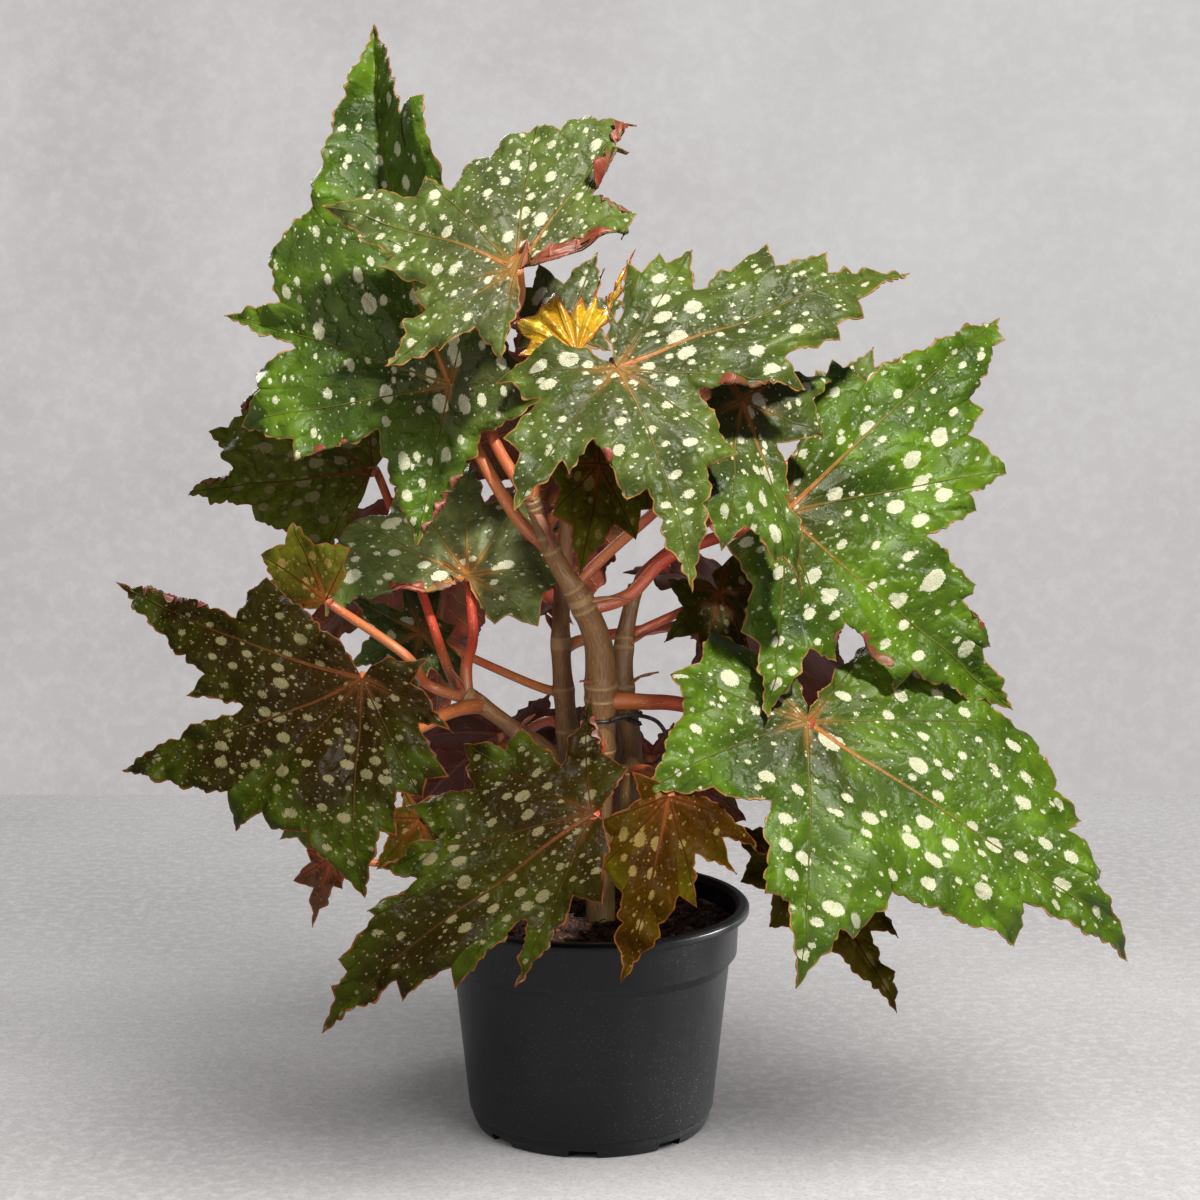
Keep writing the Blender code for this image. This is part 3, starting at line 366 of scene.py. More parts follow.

# How yellow and light a blade is, how much grey painted sheen it has, the size of its spots, and how far its
# colour is drawn towards olive green
BLADE_TONES = ("tone", "painted_sheen", "spot_size", "olive")
TONES = {
    "leaf_top_left": (0.6, 0.05, 1.0, 0), "leaf_top_centre": (0.4, 0.6, 0.72, 0),
    "leaf_centre_right": (0.25, 0.42, 0.85, 0.35), "leaf_under_centre": (0.3, 0.2, 0.85, 0),
    "leaf_right": (0.75, 0.0, 1.0, 0), "leaf_lower_right": (0.75, 0.0, 1.0, 0),
    "leaf_low_right": (0.4, 0.0, 0.7, 0), "leaf_low_centre": (0.3, 0.0, 0.7, 0.1),
    # leaf_left_upper stands in shade: its high tone and olive are painted light, lightening it as if light
    # shone through it
    "leaf_left": (0.15, 0.0, 0.62, 0.05), "leaf_left_upper": (0.9, 0.0, 0.8, 0.75),
    "leaf_left_small": (0.7, 0.1, 0.7, 0.6), "leaf_mid_left": (0.5, 0.8, 1.0, 0),
    # leaf_under_olive stands in shade too: its high tone and olive are painted light as well
    "leaf_under_olive": (0.9, 0.0, 0.8, 0.45), "leaf_back_right": (0.5, 0.5, 0.9, 0),
    "leaf_back_top": (0.5, 0.5, 0.9, 0), "leaf_low_left_back": (0.9, 0.0, 0.8, 0),
    "leaf_mid_dark": (0.5, 0.0, 0.8, 0.4), "leaf_mid_low_left": (0.6, 0.0, 0.8, 0.4),
    "leaf_low_right_back": (0.6, 0.0, 0.8, 0.3),
}
TONE = (0.35, 0.15, 0.85, 0)

# Blades folded along a rib: the rib's lobe, its side (-1 is the one that comes first), how steeply that side
# rises, the stretch along the rib where the fold sets in, and how far from the rib it goes on rising
FOLDS = {
    "leaf_top_left": ((6, 1, 1.7, 70, 130, 26), (6, -1, 0.5, 60, 120, 30)),
    "leaf_top_centre": ((11, 1, 0.5, 40, 80, 20),),
    "leaf_left": ((11, 1, 0.35, 20, 60, 30), (7, -1, 0.5, 30, 70, 16)),
    "leaf_low_centre": ((4, 1, 0.35, 40, 90, 25),),
    "leaf_under_centre": ((3, 1, 0.6, 20, 50, 20),),
    "leaf_right": ((7, -1, 0.35, 40, 100, 30),),
}

# Margins rolled over to the front, which show the red under face: the lobe, its side, the stretch of that
# side, as shares from the notch to the tip, and the width of the roll
ROLLS = {
    "leaf_top_centre": ((14, 1, -0.05, 1.2, 9.5), (14, -1, 0.4, 1.2, 6.0), (11, 1, 0.1, 1.1, 7.0),
                        (12, 1, 0.1, 1.1, 7.0), (13, -1, 0.1, 0.9, 4.0)),
    "leaf_mid_left": ((0, -1, -0.05, 1.15, 9.0), (1, -1, 0.1, 0.9, 5.0)),
    "leaf_right": ((8, 1, -0.1, 1.1, 7.0), (9, -1, 0.0, 0.7, 4.0), (6, -1, 0.2, 0.8, 3.0)),
    "leaf_centre_right": ((9, 1, 0.0, 0.7, 5.0), (12, 1, 0.0, 0.5, 4.0)),
    "leaf_top_left": ((0, -1, 0.2, 0.9, 4.0), (1, -1, 0.3, 0.9, 4.0)),
    "leaf_left": ((10, 1, 0.2, 0.9, 4.0),),
    "leaf_low_centre": ((11, 1, 0.1, 0.8, 4.0),),
    "leaf_under_centre": ((7, 1, 0.1, 0.7, 4.0),),
    "leaf_left_upper": ((2, 1, 0.0, 0.7, 4.0), (4, -1, 0.0, 0.6, 4.0)),
    "leaf_rear_left": ((3, 1, 0.1, 0.7, 5.0), (5, -1, 0.1, 0.6, 4.0)),
    "leaf_rear_right": ((2, 1, 0.1, 0.7, 5.0), (6, 1, 0.1, 0.7, 4.0)),
    "leaf_rear_upper": ((1, 1, 0.1, 0.7, 5.0), (5, 1, 0.1, 0.8, 4.0)),
}


class Value:
    """A shader socket that takes part in plain arithmetic."""

    def __init__(self, finish, socket):
        self.finish = finish
        self.socket = socket

    def output(self, name):
        return Value(self.finish, self.socket.node.outputs[name])

    def maths(self, operation, *others):
        return self.finish.node("Math", {"operation": operation}, (self, *others))

    def __add__(self, other):
        return self.maths("ADD", other)

    __radd__ = __add__

    def __sub__(self, other):
        return self.maths("SUBTRACT", other)

    def __rsub__(self, other):
        return self.finish.node("Math", {"operation": "SUBTRACT"}, (other, self))

    def __mul__(self, other):
        return self.maths("MULTIPLY", other)

    __rmul__ = __mul__

    def __truediv__(self, other):
        return self.maths("DIVIDE", other)

    def __abs__(self):
        return self.maths("ABSOLUTE")

    def __mod__(self, other):
        return self.maths("FLOORED_MODULO", other)

    def over(self, other):
        """1 where this is greater than the other."""
        return self.maths("GREATER_THAN", other)

    def most(self, other):
        return self.maths("MAXIMUM", other)

    def clear(self):
        """Kept between 0 and 1."""
        return self.finish.node("Clamp", {}, (self,))

    def ease(self, low, high):
        """0 at low and 1 at high, with a smooth step between."""
        return self.finish.node("MapRange", {"interpolation_type": "SMOOTHSTEP"}, (self, low, high))


class Finish:
    """A material under construction."""

    def __init__(self, name):
        self.material = bpy.data.materials.new(name)
        self.material.use_nodes = True
        self.tree = self.material.node_tree
        self.tree.nodes.clear()

    def node(self, kind, settings=None, sockets=(), output=0):
        """A node of a kind: its settings first, then the values or links of its sockets."""
        made = self.tree.nodes.new("ShaderNode" + kind)
        for name, value in (settings or {}).items():
            setattr(made, name, value)
        named = sockets.items() if isinstance(sockets, dict) else enumerate(sockets)
        for key, value in named:
            if isinstance(value, Value):
                self.tree.links.new(value.socket, made.inputs[key])
            elif isinstance(value, tuple) and len(value) == 3 and made.inputs[key].type == "RGBA":
                made.inputs[key].default_value = (*value, 1)
            else:
                made.inputs[key].default_value = value
        return Value(self, made.outputs[output])

    def mix(self, factor, low, high):
        """The low colour where the factor is 0, and the high one where it is 1."""
        return self.node("Mix", {"data_type": "RGBA"}, {0: factor, 6: low, 7: high}, 2)

    def split(self, vector):
        first = self.node("SeparateXYZ", {}, (vector,))
        return first, first.output("Y"), first.output("Z")

    def join(self, x, y, z=0.0):
        return self.node("CombineXYZ", {}, (x, y, z))

    def place(self):
        """The point on the plant, in metres."""
        return self.node("TexCoord", output="Object")

    def uv(self, name, size):
        """Both numbers of a UV map, in the unit that size gives."""
        across, along, _ = self.split(self.node("UVMap", {"uv_map": name}))
        return across * size, along * size

    def attribute(self, name, output="Fac"):
        return self.node("Attribute", {"attribute_name": name}, output=output)

    def noise(self, vector, scale, detail=2.0, rough=0.5, dimensions="3D"):
        return self.node("TexNoise", {"noise_dimensions": dimensions},
                         {"Vector": vector, "Scale": scale, "Detail": detail, "Roughness": rough})

    def flat_noise(self, vector, scale, detail=2.0, rough=0.5):
        """Noise over a blade's plane."""
        return self.noise(vector, scale, detail, rough, "2D")

    def cells(self, vector, scale=1.0, randomness=1.0, **settings):
        """How far a point is from the middle of its cell, with a colour of chances for each cell."""
        sockets = {"Vector": vector, "Scale": scale, "Randomness": randomness}
        return self.node("TexVoronoi", settings, sockets)

    def bump(self, height, distance, strength=1.0):
        return self.node("Bump", {}, {"Height": height, "Distance": distance, "Strength": strength})

    def surface(self, **sockets):
        """The shader, whose sockets are named with underscores."""
        named = {name.replace("_", " "): value for name, value in sockets.items()}
        shader = self.node("BsdfPrincipled", {}, named)
        self.node_out(shader)
        return self.material

    def node_out(self, shader):
        out = self.tree.nodes.new("ShaderNodeOutputMaterial")
        self.tree.links.new(shader.socket, out.inputs["Surface"])


def spots(finish, across, along, cell, least, most, share, squeeze):
    """How far a point is inside a round spot, in mm, with one spot to a cell of that size."""
    grid = finish.join(across / cell, along / cell / SPOT_STRETCH)
    spot = finish.cells(grid, randomness=0.8, voronoi_dimensions="2D")
    size, chance, _ = finish.split(spot.output("Color"))
    radius = (size * (most - least) + least) * squeeze * chance.over(1 - share)
    return radius - cell * spot


def blade_maps(f):
    """A blade's plane, how far a point is off its rib and down it, how far in from the margin, and its
    reach, which is 0 where the longest rib starts and 1 at every tip."""
    across, along = f.uv("plane", MAP_UNIT)
    off_rib, down_rib = f.uv("rib", MAP_UNIT)
    edge, reach = f.uv("margin", MAP_UNIT)
    return across, along, off_rib, down_rib, edge, reach / MAP_UNIT


def vein_gap(off_rib, down_rib, warp, pitch, wander):
    """How far a point is from the nearest side vein."""
    by_turns = off_rib.over(0) * (pitch / 2)
    run = (down_rib - abs(off_rib) * VEIN_SLANT + (warp - 0.5) * wander + by_turns) % pitch
    return abs(run - pitch / 2) * VEIN_SQUARE


def netting(f, flat):
    """The fine net between the side veins: 0 on a strand."""
    return f.cells(flat, NET_SCALE, voronoi_dimensions="2D", feature="DISTANCE_TO_EDGE").ease(0.0, 0.16)


def leaf_front(name, deep, bright, dull, spot_colour, rib_colour, rib_end, rim_colour, tips=None,
               spotted=1.0, rough=0.42, gloss=0.18):
    """The upper face of a blade: quilted green with side veins, ribs, spots and a thin coloured edge, with
    painted light near the margin and in patches, painted sheen, and painted shade beside the side veins.
    """
    f = Finish(name)
    across, along, off_rib, down_rib, edge, reach = blade_maps(f)
    tone, painted_sheen, scale, olive = [f.attribute(name) for name in BLADE_TONES]
    flat = f.join(across, along)
    warp = f.flat_noise(flat, 0.12)
    fine = f.flat_noise(flat, 1.1, 3.0, 0.6)
    broad = f.flat_noise(flat, 0.028)
    off = abs(off_rib)
    centre = 1 - down_rib.ease(4, 62)

    vein_far = vein_gap(off_rib, down_rib, warp, VEIN_PITCH, 22)
    side_vein = vein_far.ease(0.55, 0.1) * off.ease(0.4, 2.0) * (1 - reach.ease(0.8, 1.0) * 0.5)
    quilt = vein_far.ease(0.0, 5.5)
    rib = (off - ((1 - reach) * (1 - reach) + 0.16)).ease(0.35, -0.2)
    valley = off.ease(0, 5.5)
    net = netting(f, flat)

    # Cream spots of three sizes, smaller near the edge, and none on a rib
    wobble = (fine - 0.5) * 2.6
    crowd = f.flat_noise(flat, 0.045).ease(0.38, 0.6)
    squeeze = (edge.ease(1.0, 8.0) * 0.6 + 0.4) * (1 - rib)
    size = squeeze * scale
    large = spots(f, across + wobble, along + wobble, scale * 13.0, 1.0, 4.0, 0.8 * spotted,
                  size * (0.8 + 0.36 * crowd))
    middle = spots(f, across + 71 + wobble, along + wobble, scale * 8.0, 0.5, 1.7, 0.42 * spotted,
                   size * (0.6 + 0.5 * crowd))
    small = spots(f, across + 13, along + 37, scale * 4.4, 0.2, 0.55, 0.5 * spotted, squeeze)
    speckle = f.flat_noise(flat, 2.2, 3.0, 0.6)
    spot = (large.most(middle).most(small) + (speckle - 0.5) * 0.8).ease(-0.15, 0.3)

    # Lighter within 16 mm of the margin: painted light, as shining through the thin edge of the blade
    light = ((broad - 0.5) * 2.2 + tone + (1 - edge.ease(0, 16)) * 0.25 - centre * 0.5).clear()
    green = f.mix(light, deep, bright)
    # Broad patches of light yellow green: painted light, as shining through the blade
    green = f.mix(broad.ease(0.5, 0.68) * tone * 0.7, green, tuple(c * 1.7 for c in bright))
    green = f.mix(reach.ease(0.55, 1.0) * broad.ease(0.35, 0.6) * 0.8, green, tips or bright)
    green = f.mix(centre * 0.6, green, dull)
    # Grey painted sheen, as of light glancing off the blade, in broad patches
    green = f.mix(painted_sheen * (0.45 + 0.35 * broad), green, PAINTED_SHEEN)
    green = f.mix(olive, green, f.mix(light, OLIVE_DEEP, OLIVE_BRIGHT))
    green = f.mix((1 - net) * 0.15, green, tuple(min(1, c * 1.5) for c in bright))
    # Darker beside the side veins, where the quilted blade dips: painted shade
    green = f.mix((1 - quilt) * 0.3, green, deep)
    green = f.mix(side_vein * 0.4, green, f.mix(reach.ease(0, 0.5), rib_end, bright))
    green = f.mix(down_rib.ease(24, 0) * off.ease(3.6, 0.4) * 0.65, green, rib_colour)
    rib_tint = f.mix(reach.ease(0.02, 0.5), rib_colour, rib_end)
    green = f.mix(rib * (0.95 - reach * 0.45), green, rib_tint)
    cream = f.mix(speckle.ease(0.4, 0.7) * 0.6, spot_colour, tuple(c * 0.5 for c in spot_colour))
    green = f.mix(spot * (0.92 - speckle.ease(0.45, 0.7) * 0.45), green, cream)
    colour = f.mix(edge.ease(0.85, 0.35), green, rim_colour)

    height = quilt * 0.4 + valley * 0.5 + rib * 0.4 - side_vein * 0.1 + fine * 0.12 + warp * 1.6
    return f.surface(Base_Color=colour, Roughness=(fine - 0.5) * 0.16 + spot * 0.1 + rough,
                     Specular_IOR_Level=gloss, Normal=f.bump(height, MM))


def leaf_back(name, colour, light, rib_colour):
    """The under face of a blade, red to green, with its ribs standing out."""
    f = Finish(name)
    across, along, off_rib, down_rib, _, reach = blade_maps(f)
    flat = f.join(across, along)
    warp = f.flat_noise(flat, 0.12)
    broad = f.flat_noise(flat, 0.04, 3.0)
    off = abs(off_rib)
    side_vein = vein_gap(off_rib, down_rib, warp, BACK_VEIN_PITCH, 9).ease(0.85, 0.2) * off.ease(0.4, 2.0)
    rib = (off - ((1 - reach) * 1.8 + 0.3)).ease(0.4, -0.4)
    tint = f.mix(broad.ease(0.35, 0.7), colour, light)
    tint = f.mix((1 - netting(f, flat)) * 0.3 + side_vein * 0.5, tint, rib_colour)
    tint = f.mix(rib * 0.9, tint, rib_colour)
    height = rib * 1.2 + side_vein * 0.4 + warp * 0.6
    return f.surface(Base_Color=tint, Roughness=broad * 0.15 + 0.42, Normal=f.bump(height, MM))


def leaf_rim(name, colour, other):
    """The cut edge of a blade."""
    f = Finish(name)
    spread = f.noise(f.place(), 120.0, 3.0)
    return f.surface(Base_Color=f.mix(spread.ease(0.35, 0.65), colour, other), Roughness=spread * 0.2 + 0.4)


LEAF_FINISHES = {
    "green": (
        leaf_front("leaf_green_front", (0.011, 0.025, 0.002), (0.056, 0.108, 0.004), (0.038, 0.034, 0.009),
                   (0.49, 0.49, 0.36), (0.30, 0.11, 0.025), (0.12, 0.10, 0.015), (0.25, 0.125, 0.035),
                   tips=(0.065, 0.12, 0.004)),
        leaf_back("leaf_green_back", (0.16, 0.022, 0.012), (0.10, 0.045, 0.012), (0.26, 0.07, 0.03)),
        leaf_rim("leaf_green_rim", (0.22, 0.10, 0.028), (0.14, 0.035, 0.012))),
    "dark": (
        leaf_front("leaf_dark_front", (0.0085, 0.0038, 0.0003), (0.016, 0.015, 0.0004),
                   (0.020, 0.0075, 0.001), (0.145, 0.128, 0.066), (0.085, 0.027, 0.008),
                   (0.05, 0.022, 0.006), (0.12, 0.035, 0.01), tips=(0.028, 0.048, 0.002), gloss=0.05),
        leaf_back("leaf_dark_back", (0.11, 0.013, 0.009), (0.07, 0.024, 0.01), (0.20, 0.05, 0.022)),
        leaf_rim("leaf_dark_rim", (0.12, 0.035, 0.01), (0.08, 0.014, 0.006))),
    "olive": (
        leaf_front("leaf_olive_front", (0.020, 0.0075, 0.0003), (0.043, 0.022, 0.0006),
                   (0.034, 0.010, 0.001), (0.17, 0.12, 0.038), (0.13, 0.036, 0.008), (0.04, 0.014, 0.002),
                   (0.15, 0.045, 0.01), tips=(0.06, 0.055, 0.002), gloss=0.02),
        leaf_back("leaf_olive_back", (0.13, 0.017, 0.01), (0.10, 0.04, 0.01), (0.24, 0.06, 0.025)),
        leaf_rim("leaf_olive_rim", (0.15, 0.045, 0.01), (0.10, 0.018, 0.006))),
    "golden": (
        leaf_front("leaf_golden_front", (0.20, 0.11, 0.002), (0.64, 0.48, 0.022), (0.30, 0.13, 0.004),
                   (0.70, 0.55, 0.10), (0.44, 0.18, 0.01), (0.40, 0.27, 0.012), (0.30, 0.05, 0.012),
                   tips=(0.42, 0.40, 0.02), spotted=0.35, rough=0.24, gloss=0.5),
        leaf_back("leaf_golden_back", (0.16, 0.05, 0.004), (0.28, 0.12, 0.008), (0.35, 0.12, 0.015)),
        leaf_rim("leaf_golden_rim", (0.40, 0.12, 0.015), (0.24, 0.05, 0.01))),
    "red": (
        leaf_front("leaf_red_front", (0.045, 0.013, 0.006), (0.07, 0.035, 0.008), (0.08, 0.016, 0.008),
                   (0.28, 0.19, 0.11), (0.30, 0.05, 0.02), (0.17, 0.04, 0.015), (0.24, 0.05, 0.018)),
        leaf_back("leaf_red_back", (0.12, 0.014, 0.01), (0.09, 0.022, 0.012), (0.22, 0.05, 0.025)),
        leaf_rim("leaf_red_rim", (0.22, 0.05, 0.018), (0.13, 0.022, 0.01))),
}


def from_bmesh(name, mesh):
    data = bpy.data.meshes.new(name)
    mesh.to_mesh(data)
    mesh.free()
    return data


def put_in_scene(name, data):
    made = bpy.data.objects.new(name, data)
    bpy.context.scene.collection.objects.link(made)
    return made


def put_piece(name, data, *finishes):
    """A mesh made an object of the scene, smoothly shaded, with its finishes."""
    for finish in finishes:
        data.materials.append(finish)
    data.shade_smooth()
    return put_in_scene(name, data)


def read_all(items, field, kind, width=1):
    """One field of every vertex, corner or face of a mesh."""
    values = np.empty(len(items) * width, dtype=kind)
    items.foreach_get(field, values)
    return values


def points_of(data):
    return read_all(data.vertices, "co", float, 3).reshape(-1, 3)


def put_number(data, name, values):
    layer = data.attributes.new(name, "FLOAT", "POINT")
    layer.data.foreach_set("value", np.ascontiguousarray(values, dtype=np.float32))


def put_uv(data, name, values):
    layer = data.uv_layers.new(name=name)
    layer.data.foreach_set("uv", np.ascontiguousarray(values, dtype=np.float32).ravel())


def leaf_frame(turn, tilt):
    """Right, up and front of a blade that is turned to the right and tilted to the sky."""
    across, up = math.radians(turn), math.radians(tilt)
    right = Vector((math.cos(across), math.sin(across), 0))
    front = Vector((math.sin(across) * math.cos(up), -math.cos(across) * math.cos(up), math.sin(up)))
    return right, front.cross(right), front


def clock(bearing, reach):
    """The point of a blade's plane at a clock bearing and a reach from the joint."""
    angle = math.radians(bearing)
    return Vector((reach * math.sin(angle), reach * math.cos(angle)))


def lobes_of(outline):
    """Each lobe as its notch, tip, next notch, bend, and half the opening angle at both notches."""
    points = [clock(*point[:2]) for point in outline]
    last = len(points) - 1
    lobes = []
    for tip in range(1, last, 2):
        openings = []
        for notch, step in ((tip - 1, -1), (tip + 1, 1)):
            other = notch + step
            if not 0 <= other <= last:
                other = last - 1 if step < 0 else 1
            sides = points[tip] - points[notch], points[other] - points[notch]
            openings.append(sides[0].angle(sides[1]) / 2)
        lobes.append((points[tip - 1], points[tip], points[tip + 1], outline[tip][2], openings))
    return lobes


def rib_point(lobe, share):
    """A lobe's rib leaves the joint between the notches and bends towards the tip."""
    notch, tip, far_notch = lobe[:3]
    between = notch.normalized() + far_notch.normalized()
    wide = notch.angle(far_notch) > math.radians(150)
    way = tip.normalized() if wide else between.normalized()
    return 2 * share * (1 - share) * way * tip.length / 2 + share * share * tip


def rib_base(lobe):
    """The share of the rib at which the lobe leaves the body of the blade."""
    notch, tip, far_notch = lobe[:3]
    depth = min(point.length * math.cos(min(1.2, point.angle(tip))) for point in (notch, far_notch))
    return max(0.2, min(0.85, 0.9 * depth / tip.length))


def side_length(lobe):
    return ((lobe[1] - lobe[0]).length + (lobe[1] - lobe[2]).length) / 2


def tooth_shape(share, tip):
    """How far a tooth stands out along its own stretch of margin: a round swell with a small point."""
    side = share / tip if share < tip else (1 - share) / (1 - tip)
    return 0.8 * math.sin(side * math.pi / 2) ** 0.7 + 0.2 * side ** 6


def side_point(lobe, side, u, phase):
    """A lobe's side swells from the notch, and carries large teeth with small ones between."""
    start = lobe[0] if side < 0 else lobe[2]
    opening = lobe[4][0 if side < 0 else 1]
    run = lobe[1] - start
    length = run.length
    out = Vector((run.y, -run.x)).normalized() * side
    stand = min(BELLY, math.tan(0.6 * opening) / BELLY_SCALE) * length * BELLY_SCALE * u * (1 - u) ** 2
    teeth = int(side_length(lobe) / TOOTH_PITCH)
    place = u * (teeth + 1)
    if place < teeth:
        tip = (int(place) + TOOTH_TIP) / (teeth + 1)
        height = min(TOOTH_HEIGHT, 0.12 * length, 0.5 * tip * length * math.sin(opening))
        uneven = 0.25 * math.sin(phase * 3 + int(place) * 2.4)
        stand += height * ((1.1 + uneven) * tooth_shape(place % 1, TOOTH_TIP) * min(1, u * length / 12)
                           - 0.25 * min(1, place))
    deep = u * length / SINUS_ROUND
    stand -= min(SINUS, 0.1 * length) * max(0, 1 - opening) * deep * math.exp(1 - deep)
    clear = max(0.0, min(1.0, u * length / 8, (1 - u) * length / 7))
    small = u * max(1, round(length / SMALL_TOOTH_PITCH)) + 0.3 * math.sin(phase + 5 * u)
    size = 0.8 + 0.3 * math.sin(phase * 7 + math.floor(small) * 2.4)
    stand += min(SMALL_TOOTH, 0.12 * length) * clear * (size * tooth_shape(small % 1, SMALL_TOOTH_TIP) - 0.4)
    return lobe[1] - run * (1 - u) + out * stand


def lobe_grid(mesh, number, lobe, phase):
    """One lobe as a grid from the joint, whose middle line is the rib and whose rows end on the sides."""
    lobe_rows = max(5, round(side_length(lobe) / ROW_PITCH))
    rows = BODY_ROWS + lobe_rows
    base = rib_base(lobe)
    halves = len(COLUMNS) - 1
    grid = bmesh.ops.create_grid(mesh, x_segments=2 * halves, y_segments=rows, size=1)["verts"]
    for vertex in grid:
        column = round(vertex.co.x * halves)
        row = round((vertex.co.y + 1) / 2 * rows)
        spread = COLUMNS[abs(column)]
        side = 1 if column > 0 else -1
        u = max(0, row - BODY_ROWS) / lobe_rows
        middle = rib_point(lobe, base + (1 - base) * u)
        point = middle.lerp(side_point(lobe, side, u, phase + side), spread)
        height = lobe[3] * u * u
        if row < BODY_ROWS:
            point *= row / BODY_ROWS
        vertex.co = (*point, height)
    for face in {face for vertex in grid for face in vertex.link_faces}:
        face[mesh.faces.layers.int["lobe"]] = number


def margin_line(lobes, phases):
    """The points round the blade's margin, and the lobe, side and share of side of each."""
    line, marks = [], []
    for number, (lobe, phase) in enumerate(zip(lobes, phases)):
        steps = max(3, round(side_length(lobe) / (2 * ROW_PITCH)))
        for side, order in ((-1, range(steps)), (1, range(steps, 0, -1))):
            for step in order:
                line.append(tuple(side_point(lobe, side, step / steps, phase + side)))
                marks.append((number, side, step / steps))
    line.append(tuple(lobes[-1][2]))
    marks.append((len(lobes) - 1, 1, 0.0))
    return np.array(line), np.array(marks)


def roll_over(points, line, marks, rolls):
    """Roll stretches of the margin over to the front, along a smoothed margin."""
    padded = np.concatenate((line[:1].repeat(2, 0), line, line[-1:].repeat(2, 0)))
    smooth = sum(padded[shift:shift + len(line)] for shift in range(5)) / 5
    far, side, _, best, share = nearest(points[:, :2], smooth)
    inside = far * side
    start, run = smooth[:-1][best], np.diff(smooth, axis=0)[best]
    foot = start + run * share[:, None]
    inward = np.stack((run[:, 1], -run[:, 0]), 1)
    inward /= np.maximum(np.linalg.norm(inward, axis=1), 1e-6)[:, None]
    mark = marks[best]
    for lobe, lobe_side, low, high, width in rolls:
        on = (mark[:, 0] == lobe) & (mark[:, 1] == lobe_side)
        at = np.clip((mark[:, 2] - low) / (high - low), 0, 1)
        wide = np.where(on, width * np.sin(np.pi * at) ** 0.6, 0.0)
        chosen = (wide > 0.6) & (inside < wide)
        t = np.where(chosen, inside / np.maximum(wide, 0.1), 1)
        kept = np.where(t > 0.5, (t - 0.5) * 2, (0.5 - t) * 1.6) * wide
        moved = foot + inward * kept[:, None]
        points[chosen, :2] = moved[chosen]
        points[chosen, 2] += (0.5 * wide * np.clip(1 - t, 0, 1.3))[chosen]


def nearest(points, line):
    """Each point's distance from a line, its side of it, how far along the line that is, and the nearest
    segment with the share of it."""
    start, run = line[:-1], np.diff(line, axis=0)
    length = np.maximum(np.hypot(run[:, 0], run[:, 1]), 1e-6)
    away = points[:, None] - start[None]
    share = np.clip((away * run).sum(2) / length ** 2, 0, 1)
    gap = away - share[..., None] * run
    far = np.hypot(gap[..., 0], gap[..., 1])
    best = far.argmin(1)
    rows = np.arange(len(points))
    side = np.sign(run[best, 1] * away[rows, best, 0] - run[best, 0] * away[rows, best, 1])
    along = (np.cumsum(length) - length)[best] + (share * length)[rows, best]
    return far[rows, best], side, along, best, share[rows, best]


def main_ribs(lobes):
    """The lobes whose ribs start at the joint: the longest of each part of the blade."""
    def bearing(number):
        return math.degrees(math.atan2(lobes[number][1].x, lobes[number][1].y))

    longest = max(lobe[1].length for lobe in lobes)
    chosen = []
    for number in sorted(range(len(lobes)), key=lambda number: -lobes[number][1].length):
        apart = [abs((bearing(number) - bearing(other) + 180) % 360 - 180) for other in chosen]
        if lobes[number][1].length > 0.3 * longest and min(apart, default=360) > RIB_SPREAD:
            chosen.append(number)
    return sorted(chosen)


def rib_map(flat, lobe):
    """How far each point is from a lobe's rib, also signed, how far down it is, and the rib's length."""
    rib = np.array([tuple(rib_point(lobe, step / RIB_STEPS)) for step in range(RIB_STEPS + 1)])
    far, side, along, _, _ = nearest(flat, rib)
    return far, side * far, along, lobe[1].length


def raise_blade(name, points, flat, lobes, edge, near_rib, seed):
    """Puff a blade between its ribs, cup and wave it, fold it along its ribs, and pleat the golden one."""
    small = min(1, max(lobe[1].length for lobe in lobes) / FULL_BLADE)
    reach = np.hypot(flat[:, 0], flat[:, 1])
    buckle = np.array([noise.noise((x / BUCKLE_LENGTH, y / BUCKLE_LENGTH, seed)) for x, y in flat])
    ruffle = np.array([noise.noise((x / RUFFLE_LENGTH, y / RUFFLE_LENGTH, seed + 9)) for x, y in flat])
    free = np.minimum(1, reach / HELD_REACH) * small
    waves = (BUCKLE_HEIGHT * buckle + RUFFLE_HEIGHT * ruffle * np.exp(-(edge / RUFFLE_DEPTH) ** 2)
             - LIP_TURN * np.exp(-edge / LIP_TURN))
    puffed = PUFF * small * (1 - np.exp(-(near_rib / RIB_REACH) ** 2))
    points[:, 2] += puffed - CUP * reach ** 2 + free * waves
    for number, side, slope, start, full, widest in FOLDS.get(name, ()):
        _, off, along, _ = rib_map(flat, lobes[number])
        set_in = np.clip((along - start) / (full - start), 0, 1)
        points[:, 2] += slope * np.clip(off * side, 0, widest) * set_in ** 2 * (3 - 2 * set_in)
    if LEAVES[name][2] == "golden":
        bearing = np.degrees(np.arctan2(flat[:, 0], flat[:, 1]))
        pleat = np.abs((bearing / PLEAT_TURN) % 1 - 0.5) * 4 - 1
        points[:, 2] += PLEAT_HEIGHT * pleat * np.minimum(1, reach / PLEAT_REACH)


def owning_rib(lobes, number, ribs):
    """The place in the list of main ribs of the one that a lobe's side veins leave."""
    tip = lobes[number][1]
    return min(range(len(ribs)), key=lambda place: (ribs[place] != number, lobes[ribs[place]][1].angle(tip)))


